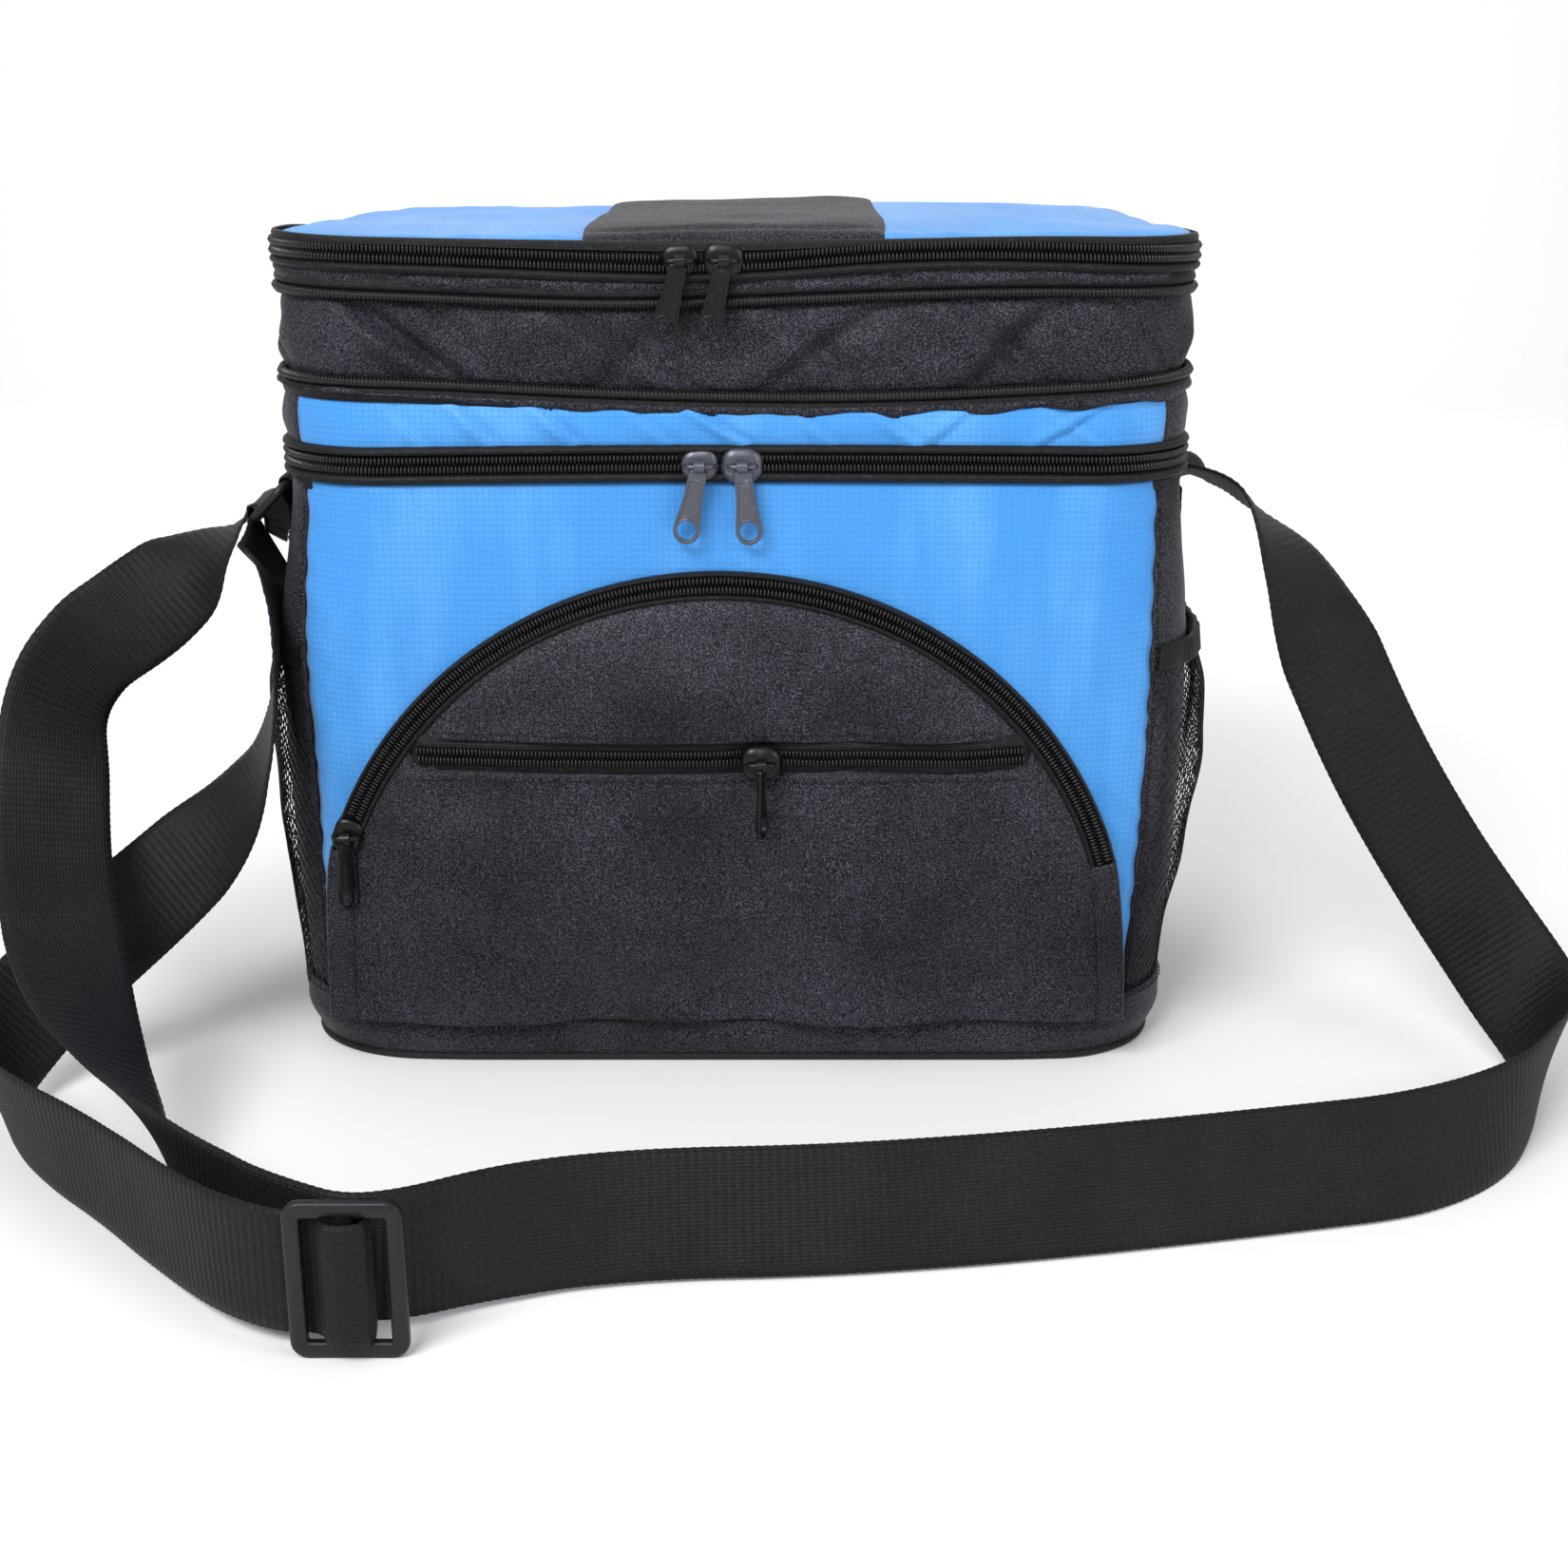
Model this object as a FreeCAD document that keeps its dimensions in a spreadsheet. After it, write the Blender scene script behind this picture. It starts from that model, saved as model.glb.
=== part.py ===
import FreeCAD, Part
import math
import os
import re
import Sketcher

Vector = FreeCAD.Vector
Placement = FreeCAD.Placement
Rotation = FreeCAD.Rotation

# An insulated cooler bag with two zipped compartments, in millimetres.
# X runs to the right, Y from the front to the back and Z up from the floor.
# "inset" is the distance inwards from the outer face of the fabric walls.

doc = FreeCAD.newDocument("cooler_bag")
sheet = doc.addObject("Spreadsheet::Sheet", "sizes")

SIZES = {
    "bag_width": 302, "bag_depth": 196, "corner_radius": 36,
    "fabric": 1.2, "foam": 6, "liner": 0.8, "tape": 1, "band": 1,
    "base_height": 19, "base_cloth": 1.6, "base_board": 4,
    "coil": 2.6, "coil_gap": 0.8,
    "lower_top": 208, "mid_zip": 214, "upper_bottom": 220,
    "blue_top": 233, "upper_top": 236.4, "expansion_zip": 241.6,
    "expansion_travel": 22, "rim_bottom": 268.8, "rim_top": 274.2,
    "lid_zip": 279.4, "lid_bottom": 284.7, "lid_top": 286.8,
    "plug_inset": 4, "gusset_inset": 2.8, "window_half": 140,
    "arc_radius": 138, "arc_height": 36.5, "arc_inset": -4.5, "pocket_shift": -5.5,
    "flap_radius": 125, "flap_bottom": 72.5, "fold_clear": 80, "flap_inset": -14,
    "face_zip": 116, "face_zip_half": 92, "pocket_half": 119.5, "pocket_bottom": 21,
    "mesh_bulge": 27, "mesh_half": 68, "mesh_bottom": 20, "mesh_top": 146,
    "mesh_wall": 1.2, "binding_height": 8,
    "anchor_back": -36, "ring_axis_height": 199.5, "ring_axis_out": 6.5,
    "ring_rod": 1.8, "ring_drop": 17.5, "ring_window": 40, "loop_length": 38,
    "handle_width": 98, "handle_pad": 5, "handle_end": 26,
    "slider_length": 12, "slider_height": 10, "slider_thick": 6,
    "lid_pair": -10, "mid_pair": -4.5,
    "pull_width": 8, "pull_length": 24, "pull_thick": 1.2,
    "pull_knuckle": 1.8, "pull_bore": 0.88, "arch_rod": 0.8,
    "glide_width": 33, "glide_height": 48, "glide_thick": 3.5, "glide_wall": 5,
    "webbing_width": 38, "webbing_thick": 1.5,
}

for row, (alias, value) in enumerate(SIZES.items(), start=1):
    sheet.set("A%d" % row, alias)
    sheet.set("B%d" % row, str(value))
    sheet.setAlias("B%d" % row, alias)
doc.recompute()

LONG = 400          # longer than the bag, for cutting tools
REAR_CUT = 60       # side zips stop this far behind the middle
SLIDER_GAP = 15     # half of the gap in a lid's chain where its sliders park
ALIAS = re.compile(r"\b(%s)\b" % "|".join(SIZES))


def size(alias):
    """The spreadsheet's value as a plain number."""
    return float(sheet.get(alias))


def bind(item, name, text):
    """Bind a property to a formula, where bare words are spreadsheet aliases."""
    item.setExpression(name, ALIAS.sub(r"sizes.\1", text))


# ---- building blocks --------------------------------------------------------

def origin_plane(body, role):
    """One of the body's own origin planes."""
    return next(item for item in body.Origin.OriginFeatures if item.Role == role)


def new_body(label):
    """An empty PartDesign body with its label."""
    body = doc.addObject("PartDesign::Body", label)
    body.Label = label
    return body


def new_sketch(body, name, role, offset):
    """A sketch on an origin plane, moved along that plane's normal."""
    sketch = body.newObject("Sketcher::SketchObject", body.Name + "_" + name)
    sketch.AttachmentSupport = [(origin_plane(body, role), "")]
    sketch.MapMode = "FlatFace"
    bind(sketch, "AttachmentOffset.Base.z", offset)
    return sketch


def rounded_outline(sketch, inset):
    """A constrained rounded rectangle that follows the bag's plan."""
    half_x = size("bag_width") / 2 - 10
    half_y = size("bag_depth") / 2 - 10
    radius = size("corner_radius") - 10
    corners = [(1, 1, 0), (-1, 1, 90), (-1, -1, 180), (1, -1, 270)]
    arcs = []
    for sign_x, sign_y, start in corners:
        centre = Vector(sign_x * (half_x - radius), sign_y * (half_y - radius), 0)
        circle = Part.Circle(centre, Vector(0, 0, 1), radius)
        arc = Part.ArcOfCircle(circle, math.radians(start), math.radians(start + 90))
        arcs.append(sketch.addGeometry(arc, False))
    lines = []
    for index, arc in enumerate(arcs):
        following = arcs[(index + 1) % 4]
        begin = sketch.getPoint(arc, 2)
        finish = sketch.getPoint(following, 1)
        lines.append(sketch.addGeometry(Part.LineSegment(begin, finish), False))
    for index, line in enumerate(lines):
        sketch.addConstraint(Sketcher.Constraint("Tangent", arcs[index], 2, line, 1))
        sketch.addConstraint(Sketcher.Constraint("Tangent", line, 2, arcs[(index + 1) % 4], 1))
    for line in (lines[0], lines[2]):
        sketch.addConstraint(Sketcher.Constraint("Horizontal", line))
    for line in (lines[1], lines[3]):
        sketch.addConstraint(Sketcher.Constraint("Vertical", line))
    for arc in arcs[1:]:
        sketch.addConstraint(Sketcher.Constraint("Equal", arcs[0], arc))
    sketch.addConstraint(Sketcher.Constraint("Symmetric", arcs[0], 3, arcs[2], 3, -1, 1))
    measures = [
        ("Radius", (arcs[0], radius), "corner_radius - (%s)" % inset),
        ("DistanceX", (arcs[1], 3, arcs[0], 3, 2 * (half_x - radius)), "bag_width - 2 * corner_radius"),
        ("DistanceY", (arcs[3], 3, arcs[0], 3, 2 * (half_y - radius)), "bag_depth - 2 * corner_radius"),
    ]
    for kind, references, formula in measures:
        number = sketch.addConstraint(Sketcher.Constraint(kind, *references))
        bind(sketch, "Constraints[%d]" % number, formula)


def pad(body, sketch, length, backwards=False):
    """Pad a sketch by a formula."""
    feature = body.newObject("PartDesign::Pad", sketch.Name + "_pad")
    feature.Profile = sketch
    feature.Reversed = backwards
    bind(feature, "Length", length)
    body.Tip = feature
    return feature


def plan_ring(label, inset, wall, bottom, height):
    """A wall that goes right round the bag's plan."""
    body = new_body(label)
    sketch = new_sketch(body, "plan", "XY_Plane", bottom)
    rounded_outline(sketch, inset)
    rounded_outline(sketch, "(%s) + (%s)" % (inset, wall))
    pad(body, sketch, height)
    return body


def plan_plate(label, inset, bottom, height):
    """A flat plate with the bag's plan."""
    body = new_body(label)
    sketch = new_sketch(body, "plan", "XY_Plane", bottom)
    rounded_outline(sketch, inset)
    pad(body, sketch, height)
    return body


def plan_tray(label, inset, wall, bottom, height, floor, upside_down=False):
    """A plate with a wall round its edge, standing up or hanging down."""
    body = plan_ring(label, inset, wall, bottom, height)
    level = "(%s) + (%s) - (%s)" % (bottom, height, floor) if upside_down else bottom
    sketch = new_sketch(body, "floor", "XY_Plane", level)
    rounded_outline(sketch, inset)
    pad(body, sketch, floor)
    return body


def box(name, length, width, height, x, y, z):
    """A box whose sizes and least corner are formulas."""
    item = doc.addObject("Part::Box", name)
    for key, text in (("Length", length), ("Width", width), ("Height", height)):
        bind(item, key, text)
    for key, text in (("x", x), ("y", y), ("z", z)):
        bind(item, "Placement.Base." + key, text)
    return item


def rod(name, radius, height, x, y, z, direction):
    """A cylinder from a point along a direction."""
    item = doc.addObject("Part::Cylinder", name)
    bind(item, "Radius", radius)
    bind(item, "Height", height)
    item.Placement = Placement(Vector(), Rotation(Vector(0, 0, 1), direction))
    for key, text in (("x", x), ("y", y), ("z", z)):
        bind(item, "Placement.Base." + key, text)
    return item


def cut(label, base, tool):
    """One solid less another."""
    item = doc.addObject("Part::Cut", label)
    item.Label = label
    item.Base = base
    item.Tool = tool
    return item


def common(label, base, tool):
    """What two solids share."""
    item = doc.addObject("Part::Common", label)
    item.Label = label
    item.Base = base
    item.Tool = tool
    return item


def fuse(label, pieces):
    """Several solids joined."""
    item = doc.addObject("Part::MultiFuse", label)
    item.Label = label
    item.Shapes = pieces
    return item


def whole_box(name, bottom, height, front, depth):
    """A cutting box as wide as the bag and more."""
    return box(name, str(2 * LONG), depth, height, str(-LONG), front, bottom)


# ---- walls, padding and lining ----------------------------------------------

def split_wall(prefix, wall, bottom, height):
    """The coloured front panel and the black wrap of one compartment."""
    window = box(prefix + "_window", "2 * window_half", "bag_depth", height,
                 "-window_half", "-bag_depth", bottom)
    front = common(prefix + "_front_panel", wall, window)
    wrap = cut(prefix + "_wrap_panel", wall, window)
    return [front, wrap]


def lower_compartment():
    """The main compartment, from the base up to its zip."""
    base_panel = plan_plate("base_panel", "0", "0", "base_cloth")
    base_band = plan_ring("base_band", "-band", "band", "0", "base_height")
    base_board = plan_plate("base_board", "fabric", "base_cloth", "base_board")
    wall = plan_ring("lower_wall", "0", "fabric", "base_cloth", "lower_top - base_cloth")
    panels = split_wall("lower", wall, "base_cloth", "lower_top - base_cloth")
    floor = "base_cloth + base_board"
    foam = plan_ring("lower_foam", "fabric", "foam", floor, "lower_top - (%s)" % floor)
    liner = plan_tray("lower_liner", "fabric + foam", "liner", floor,
                      "lower_top - (%s)" % floor, "liner")
    return [base_panel, base_band, base_board, foam, liner] + panels


def upper_compartment():
    """The shallow top compartment with its padded floor."""
    height = "upper_top - upper_bottom"
    wall = plan_ring("upper_wall", "0", "fabric", "upper_bottom", height)
    panels = split_wall("upper", wall, "upper_bottom", "blue_top - upper_bottom")
    foam = plan_ring("upper_foam", "fabric", "foam", "upper_bottom", height)
    divider = plan_plate("divider_board", "plug_inset", "lower_top + 0.2",
                         "upper_bottom - lower_top - 0.2")
    liner = plan_tray("upper_liner", "fabric + foam", "liner", "upper_bottom", height, "liner")
    gusset = plan_ring("expansion_panel", "gusset_inset", "band", "upper_top", "rim_top - upper_top")
    return panels + [foam, divider, liner, gusset]


def rim_and_lid():
    """The black rim above the expansion section, and the padded lid."""
    rim = plan_ring("rim_band", "0", "gusset_inset", "rim_bottom", "rim_top - rim_bottom")
    lid = plan_tray("lid_panel", "0", "fabric", "lid_bottom", "lid_top - lid_bottom",
                    "fabric", upside_down=True)
    foam = plan_plate("lid_foam", "plug_inset", "lid_zip - 0.4", "lid_top - fabric - lid_zip + 0.4")
    liner = plan_plate("lid_liner", "plug_inset", "lid_zip - 0.4 - liner", "liner")
    return [rim, lid, foam, liner]


# ---- zips --------------------------------------------------------------------

def zip_half(label, level, side, tape_end, ends="sides"):
    """A coil half with its tape, all the way round or over the front and sides.

    The half that swings away with a lid leaves a gap where the sliders park.
    """
    body = new_body(label)
    if side == "lower":
        coil_bottom = "%s - coil_gap / 2 - coil" % level
        tape_bottom = tape_end
        tape_height = "%s - (%s)" % (coil_bottom, tape_end)
    else:
        coil_bottom = "%s + coil_gap / 2" % level
        tape_bottom = "%s + coil" % coil_bottom
        tape_height = "(%s) - (%s)" % (tape_end, tape_bottom)
    coil = new_sketch(body, "coil", "XY_Plane", coil_bottom)
    rounded_outline(coil, "-tape / 2 - coil / 2")
    rounded_outline(coil, "-tape / 2 + coil / 2")
    pad(body, coil, "coil")
    tape = new_sketch(body, "tape", "XY_Plane", tape_bottom)
    rounded_outline(tape, "-tape")
    rounded_outline(tape, "0")
    pad(body, tape, tape_height)
    if ends == "around":
        return body
    body.Label = label + "_ring"
    tools = [whole_box(label + "_rear", level + " - 20", "40", str(REAR_CUT), str(LONG))]
    if ends == "parked":
        pair = level.replace("zip", "pair")
        tools.append(box(label + "_gap", str(2 * SLIDER_GAP), "30", "40", "%s - %s" % (pair, SLIDER_GAP),
                         "-bag_depth / 2 - 15", level + " - 20"))
    return cut(label, body, fuse(label + "_tools", tools) if len(tools) > 1 else tools[0])


def zips_round_the_bag():
    """The lid zip, the zip of the lower compartment and the expansion zip."""
    return [
        zip_half("mid_zip_lower", "mid_zip", "lower", "mid_zip - 14"),
        zip_half("mid_zip_upper", "mid_zip", "upper", "mid_zip + 13", "parked"),
        zip_half("expansion_zip_lower", "expansion_zip", "lower", "blue_top", "around"),
        expansion_upper_half(),
        zip_half("lid_zip_lower", "lid_zip", "lower", "lid_zip - 7"),
        zip_half("lid_zip_upper", "lid_zip", "upper", "lid_top - fabric", "parked"),
    ]


def expansion_upper_half():
    """The raised half, which stops short of the parked slider at the back."""
    raised = "expansion_zip + expansion_travel"
    whole = zip_half("expansion_zip_ring", raised, "upper", raised + " + 8", "around")
    gap = box("expansion_zip_break", "40", "60", "30", "60", "bag_depth / 2 - 30", raised + " - 5")
    return cut("expansion_zip_upper", whole, gap)


# ---- the front pocket ---------------------------------------------------------

def arc_point(radius, angle):
    """A point of the pocket's arc, in the front plane."""
    turn = math.radians(angle)
    return Vector(radius * math.cos(turn), size("arc_height") + radius * math.sin(turn), 0)


def arc_band(label, inner, outer, inset, thick, ends):
    """A flat band along the pocket's arc, facing forwards."""
    body = new_body(label)
    sketch = new_sketch(body, "face", "XZ_Plane", "bag_depth / 2 - (%s) - (%s)" % (inset, thick))
    start, stop = ends
    low = size_of(inner)
    high = size_of(outer)
    middle = (start + stop) / 2
    edges = [
        Part.Arc(arc_point(low, start), arc_point(low, middle), arc_point(low, stop)),
        Part.LineSegment(arc_point(low, stop), arc_point(high, stop)),
        Part.Arc(arc_point(high, start), arc_point(high, middle), arc_point(high, stop)),
        Part.LineSegment(arc_point(high, start), arc_point(low, start)),
    ]
    for edge in edges:
        sketch.addGeometry(edge, False)
    centre = Vector(0, size("arc_height"), 0)
    for index in (0, 2):
        sketch.addConstraint(Sketcher.Constraint("DistanceX", -1, 1, index, 3, centre.x))
        number = sketch.addConstraint(Sketcher.Constraint("DistanceY", -1, 1, index, 3, centre.y))
        bind(sketch, "Constraints[%d]" % number, "arc_height")
    for index, formula in ((0, inner), (2, outer)):
        number = sketch.addConstraint(Sketcher.Constraint("Radius", index, size_of(formula)))
        bind(sketch, "Constraints[%d]" % number, formula)
    joins = [(0, 2, 1, 1), (1, 2, 2, 2), (2, 1, 3, 1), (3, 2, 0, 1)]
    for join in joins:
        sketch.addConstraint(Sketcher.Constraint("Coincident", *join))
    pad(body, sketch, thick)
    return body


def size_of(formula):
    """The number that a formula of one alias and a plain number gives."""
    words = formula.split()
    total = size(words[0]) if words[0] in SIZES else float(words[0])
    for sign, word in zip(words[1::2], words[2::2]):
        number = size(word) if word in SIZES else float(word)
        total += number if sign == "+" else -number
    return total


STRIP_ENDS = (17.0, 163.0)      # angles on the arc, in degrees from +X
FLAP_CHAIN_ENDS = (20.0, 161.0)
BAG_CHAIN_ENDS = (17.0, 151.0)  # stops short of the parked slider


def pocket_arc_zip():
    """The two halves of the arc zip and the strip that ties it to the bag."""
    chain = "arc_inset - 1.3"
    tape = "arc_inset - 0.5"
    outer_coil = arc_band("arc_outer_coil", "arc_radius + 0.4", "arc_radius + 3", chain, "coil",
                          BAG_CHAIN_ENDS)
    outer_tape = arc_band("arc_outer_tape", "arc_radius + 3", "arc_radius + 8.2", tape, "tape",
                          BAG_CHAIN_ENDS)
    inner_coil = arc_band("arc_inner_coil", "arc_radius - 3", "arc_radius - 0.4", chain, "coil",
                          FLAP_CHAIN_ENDS)
    inner_tape = arc_band("arc_inner_tape", "flap_radius", "arc_radius - 3", tape, "tape",
                          FLAP_CHAIN_ENDS)
    gusset = arc_band("pocket_gusset", "arc_radius + 7", "arc_radius + 8.2", "arc_inset + 0.5", "4",
                      STRIP_ENDS)
    outer = fuse("pocket_zip_outer", [outer_coil, outer_tape])
    inner = fuse("pocket_zip_inner", [inner_coil, inner_tape])
    return [outer, inner, gusset]


def disc(name, radius, inset, thick):
    """A round plate about the arc's centre, facing forwards."""
    return rod(name, radius, thick, "0", "-bag_depth / 2 + (%s) + (%s)" % (inset, thick),
               "arc_height", Vector(0, -1, 0))


def flap_window(name, bottom, height):
    """The part of the front between two heights."""
    return whole_box(name, bottom, height, "-bag_depth", "bag_depth")


def pocket_flap():
    """The D-shaped flap: a back sheet with a wall, and two face sheets."""
    above = flap_window("flap_above", "flap_bottom", "200")
    above_fold = flap_window("flap_above_fold", "fold_clear", "200")
    back_disc = disc("flap_back_disc", "flap_radius", "arc_inset - 0.5", "tape")
    drum = disc("flap_drum", "flap_radius", "flap_inset + 1.4", "arc_inset - flap_inset - 1.9")
    hollow = disc("flap_hollow", "flap_radius - 1.4", "flap_inset", "20")
    wall = common("flap_wall", cut("flap_wall_all", drum, hollow), above_fold)
    back = fuse("flap_back_sheet", [common("flap_back_plate", back_disc, above), wall])
    face = disc("flap_face_disc", "flap_radius", "flap_inset", "1.4")
    top = common("flap_face_top", face, flap_window("face_top_window", "face_zip + 6.4", "90"))
    low = common("flap_face_low", face,
                 flap_window("face_low_window", "fold_clear", "face_zip - 6.4 - fold_clear"))
    return [back, top, low]


def face_zip():
    """The straight zip across the flap, both halves in one piece of chain."""
    level = "-bag_depth / 2 + flap_inset + 0.7"
    pieces = []
    for side, tape_low, coil_low in (("low", "face_zip - 6.4", "face_zip - 3"),
                                     ("top", "face_zip + 3", "face_zip + 0.4")):
        pieces.append(box("face_tape_" + side, "2 * face_zip_half", "tape", "3.4",
                          "-face_zip_half", level + " - 0.5", tape_low))
        pieces.append(box("face_coil_" + side, "2 * face_zip_half", "coil", "coil",
                          "-face_zip_half", level + " - coil / 2", coil_low))
    return [fuse("face_zip_chain", pieces)]


def pocket_lower_panel():
    """The fixed lower part of the pocket, open upwards and to the bag."""
    outer = box("pocket_low_outer", "2 * pocket_half", "-flap_inset", "flap_bottom - 1 - pocket_bottom",
                "-pocket_half", "-bag_depth / 2 + flap_inset", "pocket_bottom")
    inner = box("pocket_low_inner", "2 * pocket_half - 2.8", "-flap_inset", "flap_bottom",
                "-pocket_half + 1.4", "-bag_depth / 2 + flap_inset + 1.4", "pocket_bottom + 1.4")
    return [cut("pocket_lower_panel", outer, inner)]


def front_pocket():
    """The whole D-shaped pocket, moved a little to the left of the bag's middle."""
    pieces = pocket_arc_zip() + pocket_flap() + face_zip() + pocket_lower_panel()
    for item in pieces:
        bind(item, "Placement.Base.x", "pocket_shift")
    return pieces


# ---- side pockets, anchors and handle ----------------------------------------

def mesh_pocket(side, sign):
    """An open mesh pocket with its elastic top edge."""
    near = "bag_width / 2" if sign > 0 else "-bag_width / 2 - mesh_bulge"
    shift = "0" if sign > 0 else "mesh_wall"
    outer = box("mesh_outer_" + side, "mesh_bulge", "2 * mesh_half", "mesh_top - mesh_bottom",
                near, "-mesh_half", "mesh_bottom")
    inner = box("mesh_inner_" + side, "mesh_bulge - mesh_wall", "2 * mesh_half - 2 * mesh_wall",
                "mesh_top", near + " + " + shift, "-mesh_half + mesh_wall", "mesh_bottom + mesh_wall")
    mesh = cut("mesh_pocket_" + side, outer, inner)
    rim_outer = box("binding_outer_" + side, "mesh_bulge", "2 * mesh_half", "binding_height",
                    near, "-mesh_half", "mesh_top")
    rim_inner = box("binding_inner_" + side, "mesh_bulge - 2 * mesh_wall",
                    "2 * mesh_half - 4 * mesh_wall", "40", near + " + 2 * (%s)" % shift,
                    "-mesh_half + 2 * mesh_wall", "mesh_top - 5")
    return [mesh, cut("mesh_binding_" + side, rim_outer, rim_inner)]


def strap_anchors():
    """The sewn patch on each side, and the left one's webbing loop."""
    patch_left = box("anchor_patch_left", "2.4", "webbing_width", "28",
                     "-bag_width / 2 - 2.4", "anchor_back - webbing_width / 2", "170")
    loop = rod("anchor_loop", "ring_rod + 1.4", "loop_length", "-bag_width / 2 - ring_axis_out",
               "anchor_back - loop_length / 2", "ring_axis_height", Vector(0, 1, 0))
    tongue = box("anchor_tongue", "ring_axis_out", "loop_length", "2", "-bag_width / 2 - ring_axis_out",
                 "anchor_back - loop_length / 2", "ring_axis_height - 3.2")
    bore = rod("anchor_bore", "ring_rod + 0.08", "webbing_width + 40", "-bag_width / 2 - ring_axis_out",
               "anchor_back - webbing_width / 2 - 20", "ring_axis_height", Vector(0, 1, 0))
    left = cut("strap_anchor_left", fuse("anchor_left_solid", [patch_left, loop, tongue]), bore)
    right = box("strap_anchor_right", "2.4", "webbing_width", "30",
                "bag_width / 2", "anchor_back - webbing_width / 2", "169")
    right.Label = "strap_anchor_right"
    return [left, right]


RING_TILT = 45      # the webbing holds the ring this far out from hanging


def strap_ring():
    """The rectangular ring that turns in the left anchor's loop."""
    half = "(ring_window / 2 + ring_rod)"
    bars = []
    for name, level in (("top", "0"), ("bottom", "-ring_drop")):
        bars.append(rod("ring_bar_" + name, "ring_rod", "2 * %s" % half, "0", "-" + half, level,
                        Vector(0, 1, 0)))
    for name, sign in (("front", "-"), ("back", "")):
        bars.append(rod("ring_side_" + name, "ring_rod", "ring_drop", "0", sign + half, "-ring_drop",
                        Vector(0, 0, 1)))
        for end, level in (("low", "-ring_drop"), ("high", "0")):
            ball = doc.addObject("Part::Sphere", "ring_corner_%s_%s" % (name, end))
            bind(ball, "Radius", "ring_rod")
            bind(ball, "Placement.Base.y", sign + half)
            bind(ball, "Placement.Base.z", level)
            bars.append(ball)
    ring = fuse("strap_ring", bars)
    ring.Placement = Placement(Vector(), Rotation(Vector(0, 1, 0), RING_TILT))
    bind(ring, "Placement.Base.x", "-bag_width / 2 - ring_axis_out")
    bind(ring, "Placement.Base.y", "anchor_back")
    bind(ring, "Placement.Base.z", "ring_axis_height")
    return [ring]


def handle():
    """The padded strip over the lid: two sewn ends and the grip between them."""
    reach = "bag_depth / 2 - 3"
    front = box("handle_end_front", "handle_width", "handle_end", "handle_pad", "-handle_width / 2",
                "-(%s)" % reach, "lid_top")
    back = box("handle_end_back", "handle_width", "handle_end", "handle_pad", "-handle_width / 2",
               "%s - handle_end" % reach, "lid_top")
    ends = fuse("handle_ends", [front, back])
    grip = box("handle_grip", "handle_width", "2 * (%s - handle_end) - 1" % reach, "handle_pad",
               "-handle_width / 2", "-(%s - handle_end) + 0.5" % reach, "lid_top")
    grip.Label = "handle_grip"
    return [ends, grip]


# ---- sliders and pulls --------------------------------------------------------

def slider(label, arch_turn=0):
    """A zip slider at the origin: it runs along X and faces -Y. arch_turn turns its pull's arch."""
    half = "slider_length / 2"
    body = box(label + "_body", "slider_length", "slider_thick", "slider_height",
               "-" + half, "-slider_thick / 2", "-slider_height / 2")
    channel = box(label + "_channel", "40", "coil + 0.8", "2 * coil + coil_gap + 0.8", "-20",
                  "-coil / 2 - 0.4", "-coil - coil_gap / 2 - 0.4")
    slot = box(label + "_slot", "40", "tape + 0.8", "40", "-20", "-tape / 2 - 0.4", "-20")
    shell = cut(label + "_plates", body, fuse(label + "_space", [channel, slot]))
    web = box(label + "_web", "4", "slider_thick - 1", "coil_gap - 0.3", "-2", "-slider_thick / 2 + 0.5",
              "-coil_gap / 2 + 0.15")
    front = "-slider_thick / 2 - pull_knuckle - 0.5"
    arch = rod(label + "_arch", "arch_rod", "10", "-5", front, "0", Vector(1, 0, 0))
    feet = []
    for name, start in (("left", "-5"), ("right", "3.4")):
        feet.append(box(label + "_foot_" + name, "1.6", "pull_knuckle + 1.3", "2.4", start,
                        front + " - 0.6", "-1.2"))
    bridge = fuse(label + "_bridge", [arch] + feet)
    bridge.Placement = Placement(Vector(), Rotation(Vector(0, 1, 0), arch_turn))
    return fuse(label, [shell, web, bridge])


def pull(label):
    """A pull tab at the origin: it hangs down and turns about X."""
    knuckle = rod(label + "_knuckle", "pull_knuckle", "5", "-2.5", "0", "0", Vector(1, 0, 0))
    tab = box(label + "_tab", "pull_width", "pull_thick", "pull_length - 5", "-pull_width / 2",
              "-pull_thick / 2", "-pull_length + 3.5")
    neck = box(label + "_neck", "5", "pull_thick", "3", "-2.5", "-pull_thick / 2", "-3")
    eye_top = rod(label + "_eye", "pull_width / 2", "pull_thick", "0", "-pull_thick / 2",
                  "-pull_length + 3.5", Vector(0, 1, 0))
    solid = fuse(label + "_solid", [knuckle, tab, neck, eye_top])
    hole = rod(label + "_hole", "2.4", "10", "0", "-5", "-pull_length + 3.8", Vector(0, 1, 0))
    bore = rod(label + "_bore", "pull_bore", "10", "-5", "0", "0", Vector(1, 0, 0))
    return cut(label, solid, fuse(label + "_gaps", [hole, bore]))


def place(item, x, y, z, turn_z=0, turn_y=0):
    """Set a piece's place by formulas and its turns by numbers."""
    spin = Rotation(Vector(0, 1, 0), turn_y).multiply(Rotation(Vector(0, 0, 1), turn_z))
    item.Placement = Placement(Vector(), spin)
    for key, text in (("x", x), ("y", y), ("z", z)):
        bind(item, "Placement.Base." + key, text)
    return item


KNUCKLE = "slider_thick / 2 + pull_knuckle + 0.5"


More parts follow.
